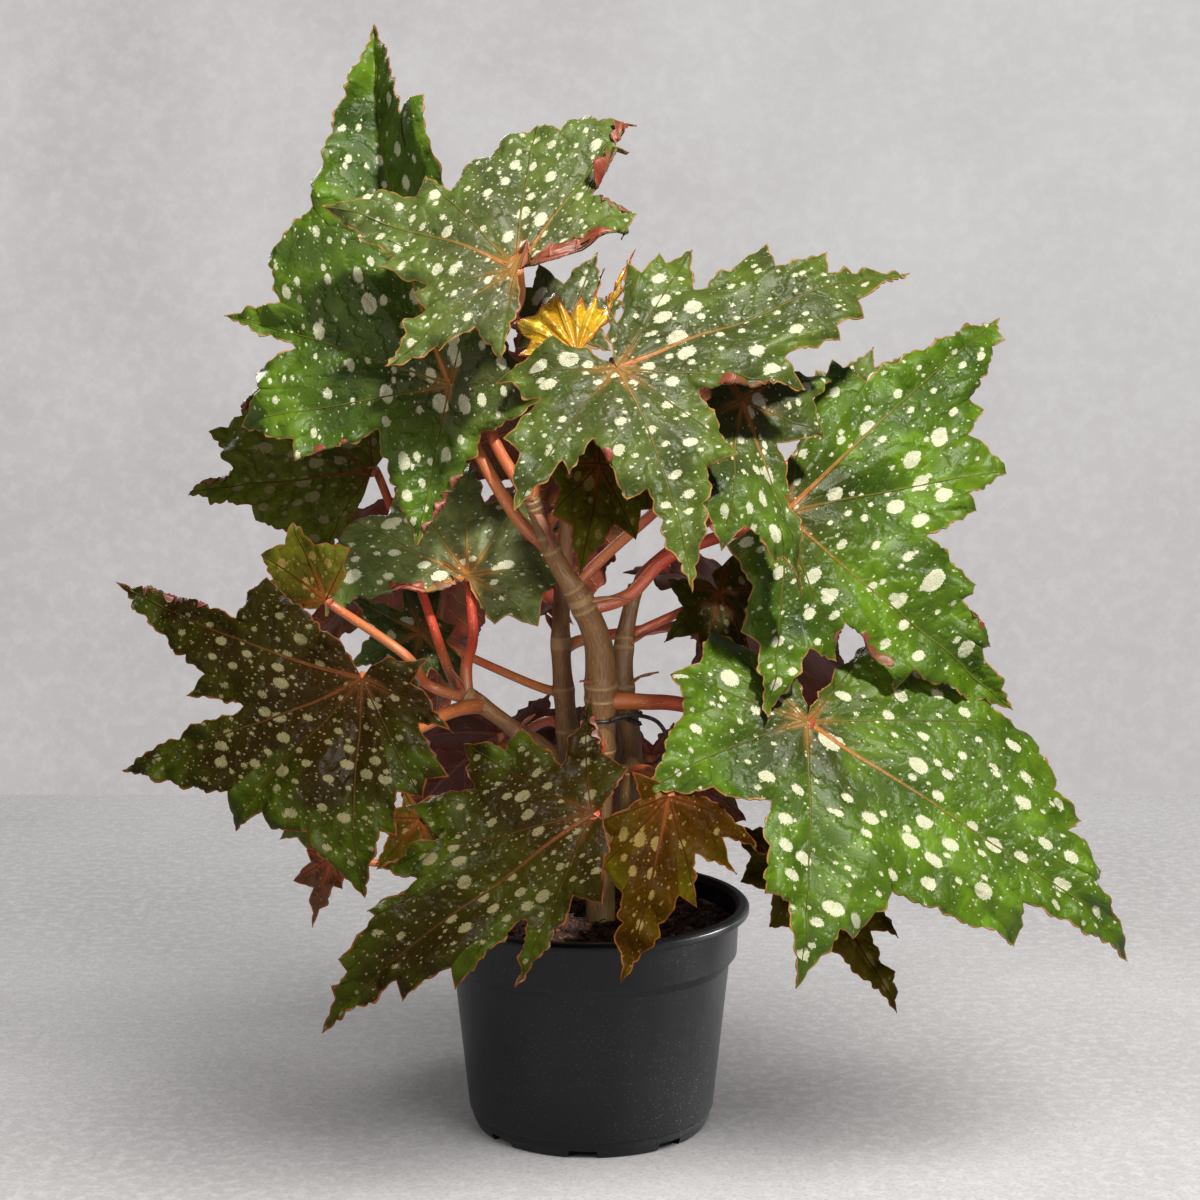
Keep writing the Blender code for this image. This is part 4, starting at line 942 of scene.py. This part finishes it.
def put_maps(data, plane, lobes, ribs, rib_maps, edge, seed):
    """UV maps of a blade's plane, of the rib that each of its lobes grows on, and of its margin."""
    corners = read_all(data.loops, "vertex_index", np.int32)
    lobe_number = read_all(data.attributes["lobe"].data, "value", np.int32)
    corner_lobe = np.repeat(lobe_number, read_all(data.polygons, "loop_total", np.int32))
    owner = [owning_rib(lobes, number, ribs) for number in range(len(lobes))]
    corner_rib = np.array(owner)[corner_lobe]
    off = np.array([rib[1] for rib in rib_maps])[corner_rib, corners]
    down = np.array([rib[2] for rib in rib_maps])[corner_rib, corners]
    whole = np.array([rib[3] for rib in rib_maps])[corner_rib]
    longest = max((lobe[1] for lobe in lobes), key=lambda tip: tip.length)
    turn = Matrix.Rotation(math.atan2(longest.x, longest.y), 2)
    turned_plane = plane @ np.array(turn).T + seed * 20
    put_uv(data, "plane", turned_plane[corners] / MAP_UNIT)
    put_uv(data, "rib", np.stack((off, down), 1) / MAP_UNIT)
    worn = 1 - whole / longest.length * (1 - np.minimum(1, down / whole))
    put_uv(data, "margin", np.stack((edge[corners] / MAP_UNIT, worn), 1))


def leaf(name):
    """A leaf blade in its place: laid out flat, raised to its form, rolled over, turned and moved."""
    joint, face, kind, outline = LEAVES[name]
    chance = random.Random(name)
    lobes = lobes_of(outline)
    phases = [chance.uniform(0, 6) for _ in lobes]
    seed = chance.uniform(0, 50)
    mesh = bmesh.new()
    mesh.faces.layers.int.new("lobe")
    for number, (lobe, phase) in enumerate(zip(lobes, phases)):
        lobe_grid(mesh, number, lobe, phase)
    bmesh.ops.remove_doubles(mesh, verts=mesh.verts, dist=BLADE_MERGE)
    data = from_bmesh(name + "_blade", mesh)

    points = points_of(data)
    plane = points[:, :2].copy()
    line, marks = margin_line(lobes, phases)
    edge = nearest(plane, line)[0]
    ribs = main_ribs(lobes)
    rib_maps = [rib_map(plane, lobes[number]) for number in ribs]
    near_rib = np.min([rib[0] for rib in rib_maps], axis=0)
    raise_blade(name, points, plane, lobes, edge, near_rib, seed)
    roll_over(points, line, marks, ROLLS.get(name, ()))
    put_maps(data, plane, lobes, ribs, rib_maps, edge, seed)

    data.vertices.foreach_set("co", (points * MM).ravel())
    place = Matrix.Translation(Vector(joint) * MM) @ Matrix(leaf_frame(*face)).transposed().to_4x4()
    data.transform(place)
    data.attributes.remove(data.attributes["lobe"])
    for attribute, value in zip(BLADE_TONES, TONES.get(name, TONE)):
        put_number(data, attribute, np.full(len(data.vertices), value))
    blade = put_piece(name + "_blade", data, *LEAF_FINISHES[kind])
    skin = blade.modifiers.new("thickness", "SOLIDIFY")
    skin.thickness = BLADE * MM
    skin.offset = 0
    skin.material_offset = 1
    skin.material_offset_rim = 2
    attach(blade, "root")
    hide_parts(name)


def cane_skin(name, low, high, streak, scar):
    """Bark of a cane: brown-green, streaked along its length, with pale pores and ringed scars."""
    f = Finish(name)
    across, over, along = f.split(f.attribute("skin", "Vector"))
    knot = f.attribute("knot")
    drawn = f.join(across * 0.9, over * 0.9, along * 0.09)
    streaks = f.noise(drawn, 1.6, 3.0, 0.6)
    mottle = f.noise(f.place(), 70.0, 3.0)
    colour = f.mix(along.ease(60, 210) * 0.7 + mottle * 0.5 - 0.2, low, high)
    colour = f.mix(streaks.ease(0.42, 0.7) * 0.75, colour, streak)
    pore = f.cells(f.join(across * 0.5, over * 0.5, along * 0.16)).ease(0.22, 0.12)
    colour = f.mix(pore * 0.55, colour, scar)
    colour = f.mix(knot.ease(1.7, 0.5) * 0.6, colour, scar)
    height = streaks * 0.35 + pore * 0.25 + knot.ease(0.0, 1.4) * 0.5 + mottle * 0.4
    return f.surface(Base_Color=colour, Roughness=streaks * 0.2 + 0.42, Normal=f.bump(height, MM))


def stalk_skin():
    """Skin of a leaf stalk: crimson to orange red, glossy, with fine pale streaks and hairs."""
    f = Finish("stalk_skin")
    across, over, along = f.split(f.attribute("skin", "Vector"))
    grown = f.attribute("grown")
    streaks = f.noise(f.join(across, over, along * 0.07), 1.5, 3.0, 0.6)
    broad = f.noise(f.place(), 14.0, 2.0)
    colour = f.mix(broad.ease(0.4, 0.62), (0.31, 0.030, 0.014), (0.33, 0.10, 0.026))
    colour = f.mix(grown.ease(0.75, 1.0) * 0.5, colour, (0.25, 0.075, 0.028))
    colour = f.mix(grown.ease(0.16, 0.0) * 0.5, colour, (0.16, 0.05, 0.02))
    colour = f.mix(streaks.ease(0.52, 0.75) * 0.4, colour, (0.42, 0.15, 0.06))
    hairs = f.cells(f.join(across * 0.8, over * 0.8, along * 0.22))
    colour = f.mix(hairs.ease(0.2, 0.1) * 0.5, colour, (0.72, 0.42, 0.30))
    height = streaks * 0.3 + hairs.ease(0.24, 0.1) * 0.12
    return f.surface(Base_Color=colour, Roughness=streaks * 0.15 + 0.3, Normal=f.bump(height, MM))


def bract_paper():
    """A dry papery bract, pink brown with veins along it."""
    f = Finish("bract_paper")
    veins = f.noise(f.place(), 260.0, 3.0, 0.6)
    broad = f.noise(f.place(), 60.0, 2.0)
    colour = f.mix(broad.ease(0.35, 0.65), (0.22, 0.045, 0.028), (0.30, 0.13, 0.07))
    colour = f.mix(veins.ease(0.5, 0.7) * 0.5, colour, (0.45, 0.25, 0.15))
    return f.surface(Base_Color=colour, Roughness=veins * 0.2 + 0.5, Normal=f.bump(veins * 0.4, MM))


def smooth_run(points, steps):
    """Points along the Catmull-Rom curve through the given ones."""
    ends = [points[0] * 2 - points[1], *points, points[-1] * 2 - points[-2]]
    run = []
    for before, start, end, after in zip(ends, ends[1:], ends[2:], ends[3:]):
        for step in range(steps):
            t = step / steps
            run.append((2 * start + (end - before) * t + (2 * before - 5 * start + 4 * end - after) * t * t
                        + (3 * start - before - 3 * end + after) * t ** 3) / 2)
    return [*run, points[-1]]


def rod(name, line, finish, roundness, knots=(), ring=False):
    """A round rod along points of (x, y, z, radius), with where each point of its skin lies on it."""
    curve = bpy.data.curves.new(name, "CURVE")
    curve.dimensions = "3D"
    curve.bevel_depth = MM
    curve.bevel_resolution = roundness
    curve.use_fill_caps = not ring
    spline = curve.splines.new("POLY")
    spline.points.add(len(line) - 1)
    spline.use_cyclic_u = ring
    for point, (x, y, z, radius) in zip(spline.points, line):
        point.co = (x * MM, y * MM, z * MM, 1)
        point.radius = radius
    shaped = put_in_scene(name, curve)
    data = bpy.data.meshes.new_from_object(shaped.evaluated_get(bpy.context.evaluated_depsgraph_get()))
    bpy.data.objects.remove(shaped, do_unlink=True)
    mesh = bmesh.new()
    mesh.from_mesh(data)
    bmesh.ops.remove_doubles(mesh, verts=mesh.verts, dist=MERGE * MM)
    mesh.to_mesh(data)
    mesh.free()

    points = points_of(data) / MM
    middle = np.array([tuple(point)[:3] for point in line])
    gaps = np.linalg.norm(np.diff(middle, axis=0), axis=1)
    lengths = np.concatenate(([0.0], np.cumsum(gaps)))
    far = np.linalg.norm(points[:, None] - middle[None], axis=2)
    best = far.argmin(1)
    along = lengths[best]
    away = points - middle[best]
    axis = Vector(middle[-1] - middle[0]) if not ring else Vector((0, 0, 1))
    first = axis.orthogonal().normalized()
    second = axis.cross(first).normalized()
    skin = np.stack((away @ np.array(first), away @ np.array(second), along), 1)
    layer = data.attributes.new("skin", "FLOAT_VECTOR", "POINT")
    layer.data.foreach_set("vector", np.ascontiguousarray(skin, dtype=np.float32).ravel())
    put_number(data, "grown", along / max(lengths[-1], 1e-6))
    from_knots = [np.abs(along - knot) for knot in knots] or [np.full(len(points), NO_KNOT)]
    put_number(data, "knot", np.min(from_knots, axis=0))
    return put_piece(name, data, finish)


def stalk_line(leaf_name, root, way, radius, via):
    """A stalk leaves the cane, bends through its via points and meets the blade's back square on."""
    joint, face = LEAVES[leaf_name][:2]
    front = leaf_frame(*face)[2]
    end = Vector(joint) - front * STALK_REST
    root = Vector(root)
    lead = min(STALK_LEAD, (end - root).length / 4)
    points = [root, root + Vector(way).normalized() * lead, *map(Vector, via), end - front * lead / 2, end]
    run = smooth_run(points, 9)
    share = [step / (len(run) - 1) for step in range(len(run))]
    return [(*point, radius * (1.15 - 0.3 * at + 0.4 * math.exp(-at * 14) + 0.3 * math.exp((at - 1) * 16)))
            for point, at in zip(run, share)]


def bract(name, root, tip, width, finish):
    """A papery bract: a pointed plate, folded along its middle, that bends up to its tip."""
    root, tip = Vector(root), Vector(tip)
    run = tip - root
    across = run.cross(Vector((0, 0, 1))).normalized()
    fold = across.cross(run).normalized()
    mesh = bmesh.new()
    grid = bmesh.ops.create_grid(mesh, x_segments=6, y_segments=12, size=1)["verts"]
    for vertex in grid:
        side, share = vertex.co.x, (vertex.co.y + 1) / 2
        wide = width * (1 + 0.9 * share) * (1 - share ** 2.2)
        ripple = 0.25 * width * math.sin(9 * share + 2 * side) * abs(side)
        lift = 0.4 * run.length * share * (1 - share) - 0.55 * wide * abs(side) + ripple
        vertex.co = (root + run * share + across * side * wide + fold * lift) * MM
    bmesh.ops.remove_doubles(mesh, verts=mesh.verts, dist=MERGE * MM)
    bmesh.ops.solidify(mesh, geom=mesh.faces[:], thickness=0.5 * MM)
    return put_piece(name, from_bmesh(name, mesh), finish)


def join(name, parts):
    """Several meshes made one piece."""
    with bpy.context.temp_override(active_object=parts[0], selected_editable_objects=parts):
        bpy.ops.object.join()
    parts[0].name = name
    return parts[0]


def cane(name, skins, stalk_finish, paper):
    """A cane with its swollen joints, its stalks and its bracts."""
    spec = CANES[name]
    run = smooth_run([Vector(point) for point in spec["line"]], 12)
    middle = [Vector(point[:3]) for point in run]
    lengths = [0.0]
    for start, end in zip(middle, middle[1:]):
        lengths.append(lengths[-1] + (end - start).length)
    roots = [Vector(stalk[1]) for stalk in spec["stalks"]] + [Vector(plate[0]) for plate in spec["bracts"]]
    knots = [lengths[min(range(len(middle)), key=lambda at: (middle[at] - root).length)] for root in roots]
    line = []
    for point, at in zip(run, lengths):
        near = min(abs(at - knot) for knot in knots)
        line.append((*point[:3], point[3] * (0.97 + KNOT_SWELL * math.exp(-(near / KNOT_LENGTH) ** 2))))
    parts = [rod(name, line, skins[spec["finish"]], 10, knots)]
    for number, stalk in enumerate(spec["stalks"]):
        parts.append(rod(f"{name}_stalk_{number}", stalk_line(*stalk), stalk_finish, 6))
    for number, plate in enumerate(spec["bracts"]):
        parts.append(bract(f"{name}_bract_{number}", *plate, paper))
    piece = join(name + "_grown", parts)
    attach(piece, "root")
    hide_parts(name)
    "cane_" + spec["finish"]


def tie_wire():
    """One turn of wire, drawn tight round the main and the right cane, with its twisted ends."""
    f = Finish("tie_wire_coat")
    worn = f.noise(f.place(), 400.0, 3.0)
    coat = f.surface(Base_Color=f.mix(worn.ease(0.4, 0.7), (0.012, 0.010, 0.009), (0.05, 0.035, 0.03)),
                     Roughness=worn * 0.2 + 0.35, Normal=f.bump(worn * 0.1, MM))
    line = []
    steps = 72
    for step in range(steps):
        angle = 2 * math.pi * step / steps
        way = Vector((math.cos(angle), math.sin(angle)))
        x, y, radius = max(TIED, key=lambda held: Vector(held[:2]).dot(way) + held[2])
        reach = radius + 0.3 + TIE_WIRE
        line.append((x + reach * way.x, y + reach * way.y, TIE_HEIGHT, TIE_WIRE))
    ring = rod("tie_wire_ring", line, coat, 6, ring=True)
    start = Vector(TIE_TAIL_START)
    away = Vector(TIE_TAIL_WAY).normalized()
    side = away.orthogonal().normalized()
    up = away.cross(side)
    tails = []
    for number in range(2):
        twist = []
        for step in range(40):
            turn = step * TWIST_TURN + number * math.pi
            wound = side * math.cos(turn) + up * math.sin(turn)
            twist.append((*(start + away * step * TWIST_STEP + wound * TWIST_REACH), TIE_TAIL))
        tails.append(rod(f"tie_wire_tail_{number}", twist, coat, 4))
    loop = smooth_run([Vector(point) for point in TIE_LOOP], 8)
    tails.append(rod("tie_wire_loop", [(*point, TIE_WIRE) for point in loop], coat, 6))
    piece = join("tie_wire_twisted", [ring, *tails])
    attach(piece, "root")
    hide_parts("tie_wire")


def rounded(profile, size):
    """The profile with each of its corners rounded off."""
    line = [Vector(profile[0])]
    for before, corner, after in zip(profile, profile[1:], profile[2:]):
        before, corner, after = Vector(before), Vector(corner), Vector(after)
        cut = min(size, (before - corner).length / 2.2, (after - corner).length / 2.2)
        start = corner + (before - corner).normalized() * cut
        end = corner + (after - corner).normalized() * cut
        for share in (0, 0.33, 0.67, 1):
            line.append(start.lerp(corner, share).lerp(corner.lerp(end, share), share))
    return [*line, Vector(profile[-1])]


def turned(profile, sides):
    """A body of revolution from its (radius, height) profile."""
    mesh = bmesh.new()
    points = [mesh.verts.new((radius * MM, 0, height * MM)) for radius, height in profile]
    edges = [mesh.edges.new(pair) for pair in zip(points, points[1:])]
    bmesh.ops.spin(mesh, geom=points + edges, cent=(0, 0, 0), axis=(0, 0, 1), angle=2 * math.pi, steps=sides,
                   use_merge=True)
    bmesh.ops.remove_doubles(mesh, verts=mesh.verts, dist=MERGE * MM)
    bmesh.ops.recalc_face_normals(mesh, faces=mesh.faces)
    return mesh


def pot_plastic():
    """Black moulded plastic: satin, finely grained, with a little dust and a few scuffs."""
    f = Finish("pot_plastic")
    place = f.place()
    grain = f.noise(place, 900.0, 2.0)
    broad = f.noise(place, 22.0, 4.0, 0.6)
    x, y, z = f.split(place)
    drawn = f.noise(f.join(x, y, z * 0.12), 260.0, 3.0)
    dust = f.cells(place, 520.0).ease(0.2, 0.08) * broad.ease(0.3, 0.6)
    colour = f.mix(broad.ease(0.3, 0.75), (0.0040, 0.0041, 0.0044), (0.0075, 0.0077, 0.0082))
    colour = f.mix(dust * 0.35, colour, (0.16, 0.158, 0.155))
    return f.surface(Base_Color=colour, Roughness=broad * 0.18 + drawn * 0.1 + 0.26 + dust * 0.2,
                     Specular_IOR_Level=0.3, Normal=f.bump(grain * 0.05 + drawn * 0.06 + broad * 0.25, MM))


def pot():
    """The pot: a turned body with notches in its foot and drain holes in its floor."""
    floor_bottom = FLOOR_HEIGHT - WALL
    profile = [
        (0, 0), (FOOT_PAD_RADIUS, 0), (FOOT_PAD_RADIUS, floor_bottom), (FOOT_RADIUS - 4, floor_bottom),
        (FOOT_RADIUS - 3.4, 0), (FOOT_RADIUS - 1, 0), (FOOT_RADIUS, 0.8), (STEP_RADIUS - 1.6, 5.5),
        (STEP_RADIUS - 1.6, STEP_HEIGHT - 1.5), (STEP_RADIUS, STEP_HEIGHT), (BODY_TOP_RADIUS, BODY_TOP),
        (BAND_RADIUS, BAND_BOTTOM), (BAND_RADIUS + 1, LIP_BOTTOM), (RIM_RADIUS - 0.6, LIP_BOTTOM),
        (RIM_RADIUS, LIP_BOTTOM + 0.8), (RIM_RADIUS, POT_HEIGHT - 1.6), (RIM_RADIUS - 1.6, POT_HEIGHT),
        (BAND_RADIUS + 1.4, POT_HEIGHT), (BAND_RADIUS + 1 - WALL, POT_HEIGHT - 2.4),
        (BAND_RADIUS + 0.6 - WALL, SOIL_TOP), (BAND_RADIUS - WALL, BAND_BOTTOM + 1.0),
        (BODY_TOP_RADIUS - WALL, BODY_TOP + 1.0), (STEP_RADIUS - WALL, STEP_HEIGHT + 2.0),
        (FOOT_RADIUS - 2, FLOOR_HEIGHT), (0, FLOOR_HEIGHT)]
    body = turned(rounded(profile, EDGE_ROUND), POT_SIDES)
    piece = put_piece("pot_moulded", from_bmesh("pot_moulded", body))
    holes = bmesh.new()
    for number in range(NOTCH_COUNT):
        turn = math.radians(NOTCH_TURN + 360 * number / NOTCH_COUNT)
        place = Matrix.Rotation(turn, 4, "Z") @ Matrix.Translation((0, -FOOT_RADIUS * MM, 0))
        size = Matrix.Diagonal((NOTCH_WIDTH * MM, NOTCH_DEPTH * MM, 2 * NOTCH_HEIGHT * MM, 1))
        made = bmesh.ops.create_cube(holes, size=1, matrix=place @ size)["verts"]
        edges = list({edge for vertex in made for edge in vertex.link_edges})
        bmesh.ops.bevel(holes, geom=edges, offset=NOTCH_ROUND * MM, affect="EDGES", segments=3, profile=0.5,
                        material=-1)
    for number in range(DRAIN_COUNT):
        turn = math.radians(360 * number / DRAIN_COUNT)
        place = Matrix.Rotation(turn, 4, "Z") @ Matrix.Translation((DRAIN_CIRCLE * MM, 0, FLOOR_HEIGHT * MM))
        bmesh.ops.create_cone(holes, cap_ends=True, segments=40, radius1=DRAIN_RADIUS * MM,
                              radius2=DRAIN_RADIUS * MM, depth=8 * MM, matrix=place)
    cutter = put_piece("pot_holes", from_bmesh("pot_holes", holes))
    taken = piece.modifiers.new("holes", "BOOLEAN")
    taken.operation = "DIFFERENCE"
    taken.solver = "EXACT"
    taken.object = cutter
    view = bpy.context.evaluated_depsgraph_get()
    finished = bpy.data.meshes.new_from_object(piece.evaluated_get(view))
    piece.modifiers.clear()
    piece.data = finished
    bpy.data.objects.remove(cutter, do_unlink=True)
    finished.materials.clear()
    finished.materials.append(pot_plastic())
    finished.shade_smooth()
    finished.set_sharp_from_angle(angle=math.radians(POT_CREASE))
    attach(piece, "root")
    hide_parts("pot")


def coir():
    """Damp coir and bark: dark brown, reddish and black crumbs with paler fibres."""
    f = Finish("soil_coir")
    place = f.place()
    patch = f.cells(place, 260.0)
    red, chance, _ = f.split(patch.output("Color"))
    fine = f.noise(place, 700.0, 4.0, 0.7)
    fibre = f.noise(place, 320.0, 2.0)
    colour = f.mix(red, (0.007, 0.003, 0.0015), (0.055, 0.018, 0.007))
    colour = f.mix(chance.over(0.9) * 0.8, colour, (0.17, 0.06, 0.022))
    colour = f.mix(fine.ease(0.55, 0.8) * 0.4, colour, (0.085, 0.036, 0.015))
    return f.surface(Base_Color=colour, Roughness=fine * 0.3 + 0.62,
                     Normal=f.bump(fine * 0.7 + fibre * 0.8 + patch * 0.8, MM))


def soil():
    """The filling: a lumpy top under loose crumbs and a few fibres."""
    chance = random.Random(4)
    inside = WALL + SOIL_GAP
    wall = [(FOOT_RADIUS - 2 - SOIL_GAP, FLOOR_HEIGHT + SOIL_GAP), (STEP_RADIUS - inside, STEP_HEIGHT + 2.0),
            (BODY_TOP_RADIUS - inside, BODY_TOP + 1.0), (BAND_RADIUS - inside, BAND_BOTTOM + 1.0)]
    edge = SOIL_RADIUS - SOIL_GAP
    rings = [(edge * (1 - step / SOIL_RINGS), SOIL_TOP) for step in range(SOIL_RINGS + 1)]
    mesh = turned([(0, FLOOR_HEIGHT + SOIL_GAP), *wall, *rings], SOIL_SIDES)

    def dropped(reach):
        """A point of the soil within the reach, each as likely as the next."""
        turn, out = chance.uniform(0, 2 * math.pi), reach * math.sqrt(chance.random())
        return out * math.cos(turn), out * math.sin(turn)

    def lumps(x, y):
        rough = sum(noise.noise((x / length, y / length, layer)) * height for length, layer, height in LUMPS)
        return rough * min(1, (edge - math.hypot(x, y)) / 5 + 0.1)

    for vertex in mesh.verts:
        if vertex.co.z > (SOIL_TOP - 0.1) * MM:
            vertex.co.z += lumps(vertex.co.x / MM, vertex.co.y / MM) * MM
    for _ in range(CRUMBS):
        x, y = dropped(edge - CRUMB_GAP)
        size = chance.uniform(*CRUMB_SIZE) * (1.6 if chance.random() > 0.9 else 1)
        place = Matrix.Translation((x * MM, y * MM, (SOIL_TOP + lumps(x, y) + 0.2 * size) * MM))
        spin = Matrix.Rotation(chance.uniform(0, 6), 4, Vector((chance.random(), chance.random(), 1)))
        stretch = Matrix.Diagonal((size * chance.uniform(0.8, 2.0) * MM, size * MM,
                                   size * chance.uniform(0.5, 0.9) * MM, 1))
        crumb = bmesh.ops.create_icosphere(mesh, subdivisions=1, radius=1, matrix=place @ spin @ stretch)
        for vertex in crumb["verts"]:
            vertex.co += Vector([chance.uniform(-0.2, 0.2) * size * MM for _ in range(3)])
    coir_finish = coir()
    strands = [put_piece("soil_filling", from_bmesh("soil_filling", mesh), coir_finish)]
    for number in range(FIBRES):
        x, y = dropped(edge - FIBRE_GAP)
        way = chance.uniform(0, 2 * math.pi)
        long, bend = chance.uniform(*FIBRE_LENGTH), chance.uniform(-FIBRE_BEND, FIBRE_BEND)
        line = []
        steps = 7
        for step in range(steps + 1):
            angle = way + bend * step / steps
            x, y = x + math.cos(angle) * long / steps, y + math.sin(angle) * long / steps
            rise = SOIL_TOP + lumps(x, y) + FIBRE_ARCH[0] + FIBRE_ARCH[1] * math.sin(math.pi * step / steps)
            line.append((x, y, rise, FIBRE_RADIUS))
        strands.append(rod(f"soil_fibre_{number}", line, coir_finish, 0))
    piece = join("soil_filling", strands)
    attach(piece, "root")
    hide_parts("soil")


def stage_piece(name, mesh, finish):
    piece = put_piece(name, from_bmesh(name, mesh), finish)
    piece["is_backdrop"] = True
    return piece


def floor():
    """A pale floor of fine concrete."""
    f = Finish("pale_concrete")
    place = f.place()
    broad = f.noise(place, 3.2, 5.0, 0.6)
    fine = f.noise(place, 140.0, 3.0)
    colour = f.mix(broad.ease(0.3, 0.75), (0.40, 0.39, 0.385), (0.50, 0.49, 0.485))
    grit = f.noise(place, 420.0, 2.0)
    colour = f.mix(fine.ease(0.4, 0.7) * 0.6, colour, (0.56, 0.55, 0.545))
    colour = f.mix(grit.ease(0.45, 0.7) * 0.6, colour, (0.35, 0.34, 0.335))
    mesh = bmesh.new()
    bmesh.ops.create_grid(mesh, x_segments=4, y_segments=4, size=FLOOR_HALF)
    finish = f.surface(Base_Color=colour, Roughness=broad * 0.1 + 0.75, Normal=f.bump(fine * 0.2, MM))
    return stage_piece("floor", mesh, finish)


def backdrop():
    """A plain plaster backdrop all round, which shows behind the plant and gives it no light. Its glow is
    lighter to the right, as painted light, and darker towards the bottom.
    """
    f = Finish("plaster_backdrop")
    place = f.place()
    broad = f.noise(place, 2.6, 6.0, 0.6)
    fine = f.noise(place, 34.0, 4.0, 0.7)
    across, _, up = f.split(place)
    colour = f.mix(broad.ease(0.3, 0.7), (0.515, 0.49, 0.485), (0.59, 0.57, 0.565))
    # Lighter to the right: painted light, as from the lamps on that side
    colour = f.mix(across.ease(-1.2, 1.2) * 0.45, colour, (0.69, 0.675, 0.68))
    colour = f.mix(up.ease(0.6, -0.5) * 0.42, colour, (0.43, 0.40, 0.395))
    colour = f.mix(fine.ease(0.4, 0.7) * 0.14, colour, (0.86, 0.85, 0.845))
    f.node_out(f.node("Emission", {}, {"Color": colour}))
    mesh = bmesh.new()
    bmesh.ops.create_uvsphere(mesh, u_segments=48, v_segments=24, radius=BACKDROP_RADIUS)
    dome = stage_piece("backdrop", mesh, f.material)
    dome.visible_diffuse = False
    dome.visible_glossy = False
    dome.visible_transmission = False
    dome.visible_shadow = False


def lamp(name, place, target, size, power, colour, lit=None):
    """A round studio light, which may be kept to one collection."""
    light = bpy.data.lights.new(name, "AREA")
    light.shape = "DISK"
    light.size = size
    light.energy = power
    light.color = colour
    holder = put_in_scene(name, light)
    holder.location = place
    holder.rotation_euler = (Vector(target) - Vector(place)).to_track_quat("-Z", "Y").to_euler()
    if lit:
        holder.light_linking.receiver_collection = lit


def studio(ground):
    """Each light is kept to the floor, the pot, the plant or its stems."""
    world = bpy.data.worlds.new("studio")
    bpy.context.scene.world = world
    world.use_nodes = True
    room = world.node_tree.nodes["Background"]
    room.inputs["Color"].default_value = (0.98, 1.0, 1.03, 1)
    room.inputs["Strength"].default_value = 0.17
    floor_only, plant_only, pot_only, stems_only = [
        bpy.data.collections.new(name) for name in ("floor_only", "plant_only", "pot_only", "stems_only")]
    floor_only.objects.link(ground)
    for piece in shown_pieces():
        (pot_only if piece.name == "pot_moulded" else plant_only).objects.link(piece)
        if "cane" in piece.name or piece.name in ("leaf_golden_blade", "leaf_mid_left_blade"):
            stems_only.objects.link(piece)
    lamp("key_light", (0.65, -1.3, 1.95), (0, 0, 0.3), 0.16, 108, (1, 0.965, 0.89), plant_only)
    lamp("back_light", BEHIND, (0, 0, 0.25), 1.4, 42, DAYLIGHT, plant_only)
    lamp("pot_back_light", BEHIND, (0, 0, 0.1), 1.0, 30, DAYLIGHT, pot_only)
    lamp("fill_light", (-1.2, -1.7, 0.8), (0, 0, 0.3), 1.4, 17, (1, 0.9, 0.66), plant_only)
    lamp("pot_fill_light", (-1.5, -1.6, 0.9), (0, 0, 0.1), 1.0, 9, (0.98, 0.99, 1), pot_only)
    lamp("stem_light", (0.5, -1.6, 0.5), (0, 0, 0.25), 0.5, 22, (1, 0.95, 0.88), stems_only)
    lamp("pot_light", (2.0, 0.2, 0.5), (0, 0, 0.06), 0.7, 165, (1, 0.98, 0.97), pot_only)
    lamp("floor_light", (0.9, -1.0, 2.2), (0, 0, 0), 2.4, 116, FLOOR_WHITE, floor_only)
    lamp("floor_fill_light", (-1.4, -1.5, 1.9), (0, 0, 0), 2.0, 20, FLOOR_WHITE, floor_only)


def camera():
    """The photograph's viewing angle, fitted to the pot's rims and to the plant's height."""
    lens = bpy.data.cameras.new("camera")
    lens.sensor_width = SENSOR
    lens.lens = SENSOR * FOCAL_LENGTH / PHOTO_SIZE
    lens.clip_end = 20
    holder = put_in_scene("camera", lens)
    holder.location = CAMERA_PLACE
    holder.rotation_euler = (math.radians(90 - CAMERA_DROP), 0, 0)
    bpy.context.scene.camera = holder


camera()
backdrop()
GROUND = floor()
bpy.context.scene.view_settings.view_transform = "Standard"
pot()
soil()
tie_wire()
CANE_SKINS = {
    "brown": cane_skin("cane_brown_skin", (0.115, 0.078, 0.020), (0.17, 0.072, 0.021), (0.05, 0.018, 0.006),
                       (0.27, 0.17, 0.075)),
    "green": cane_skin("cane_green_skin", (0.135, 0.088, 0.023), (0.22, 0.082, 0.023), (0.07, 0.024, 0.008),
                       (0.30, 0.19, 0.085)),
}
STALK_SKIN = stalk_skin()
BRACT_PAPER = bract_paper()
for name in CANES:
    cane(name, CANE_SKINS, STALK_SKIN, BRACT_PAPER)
for name in LEAVES:
    leaf(name)
studio(GROUND)
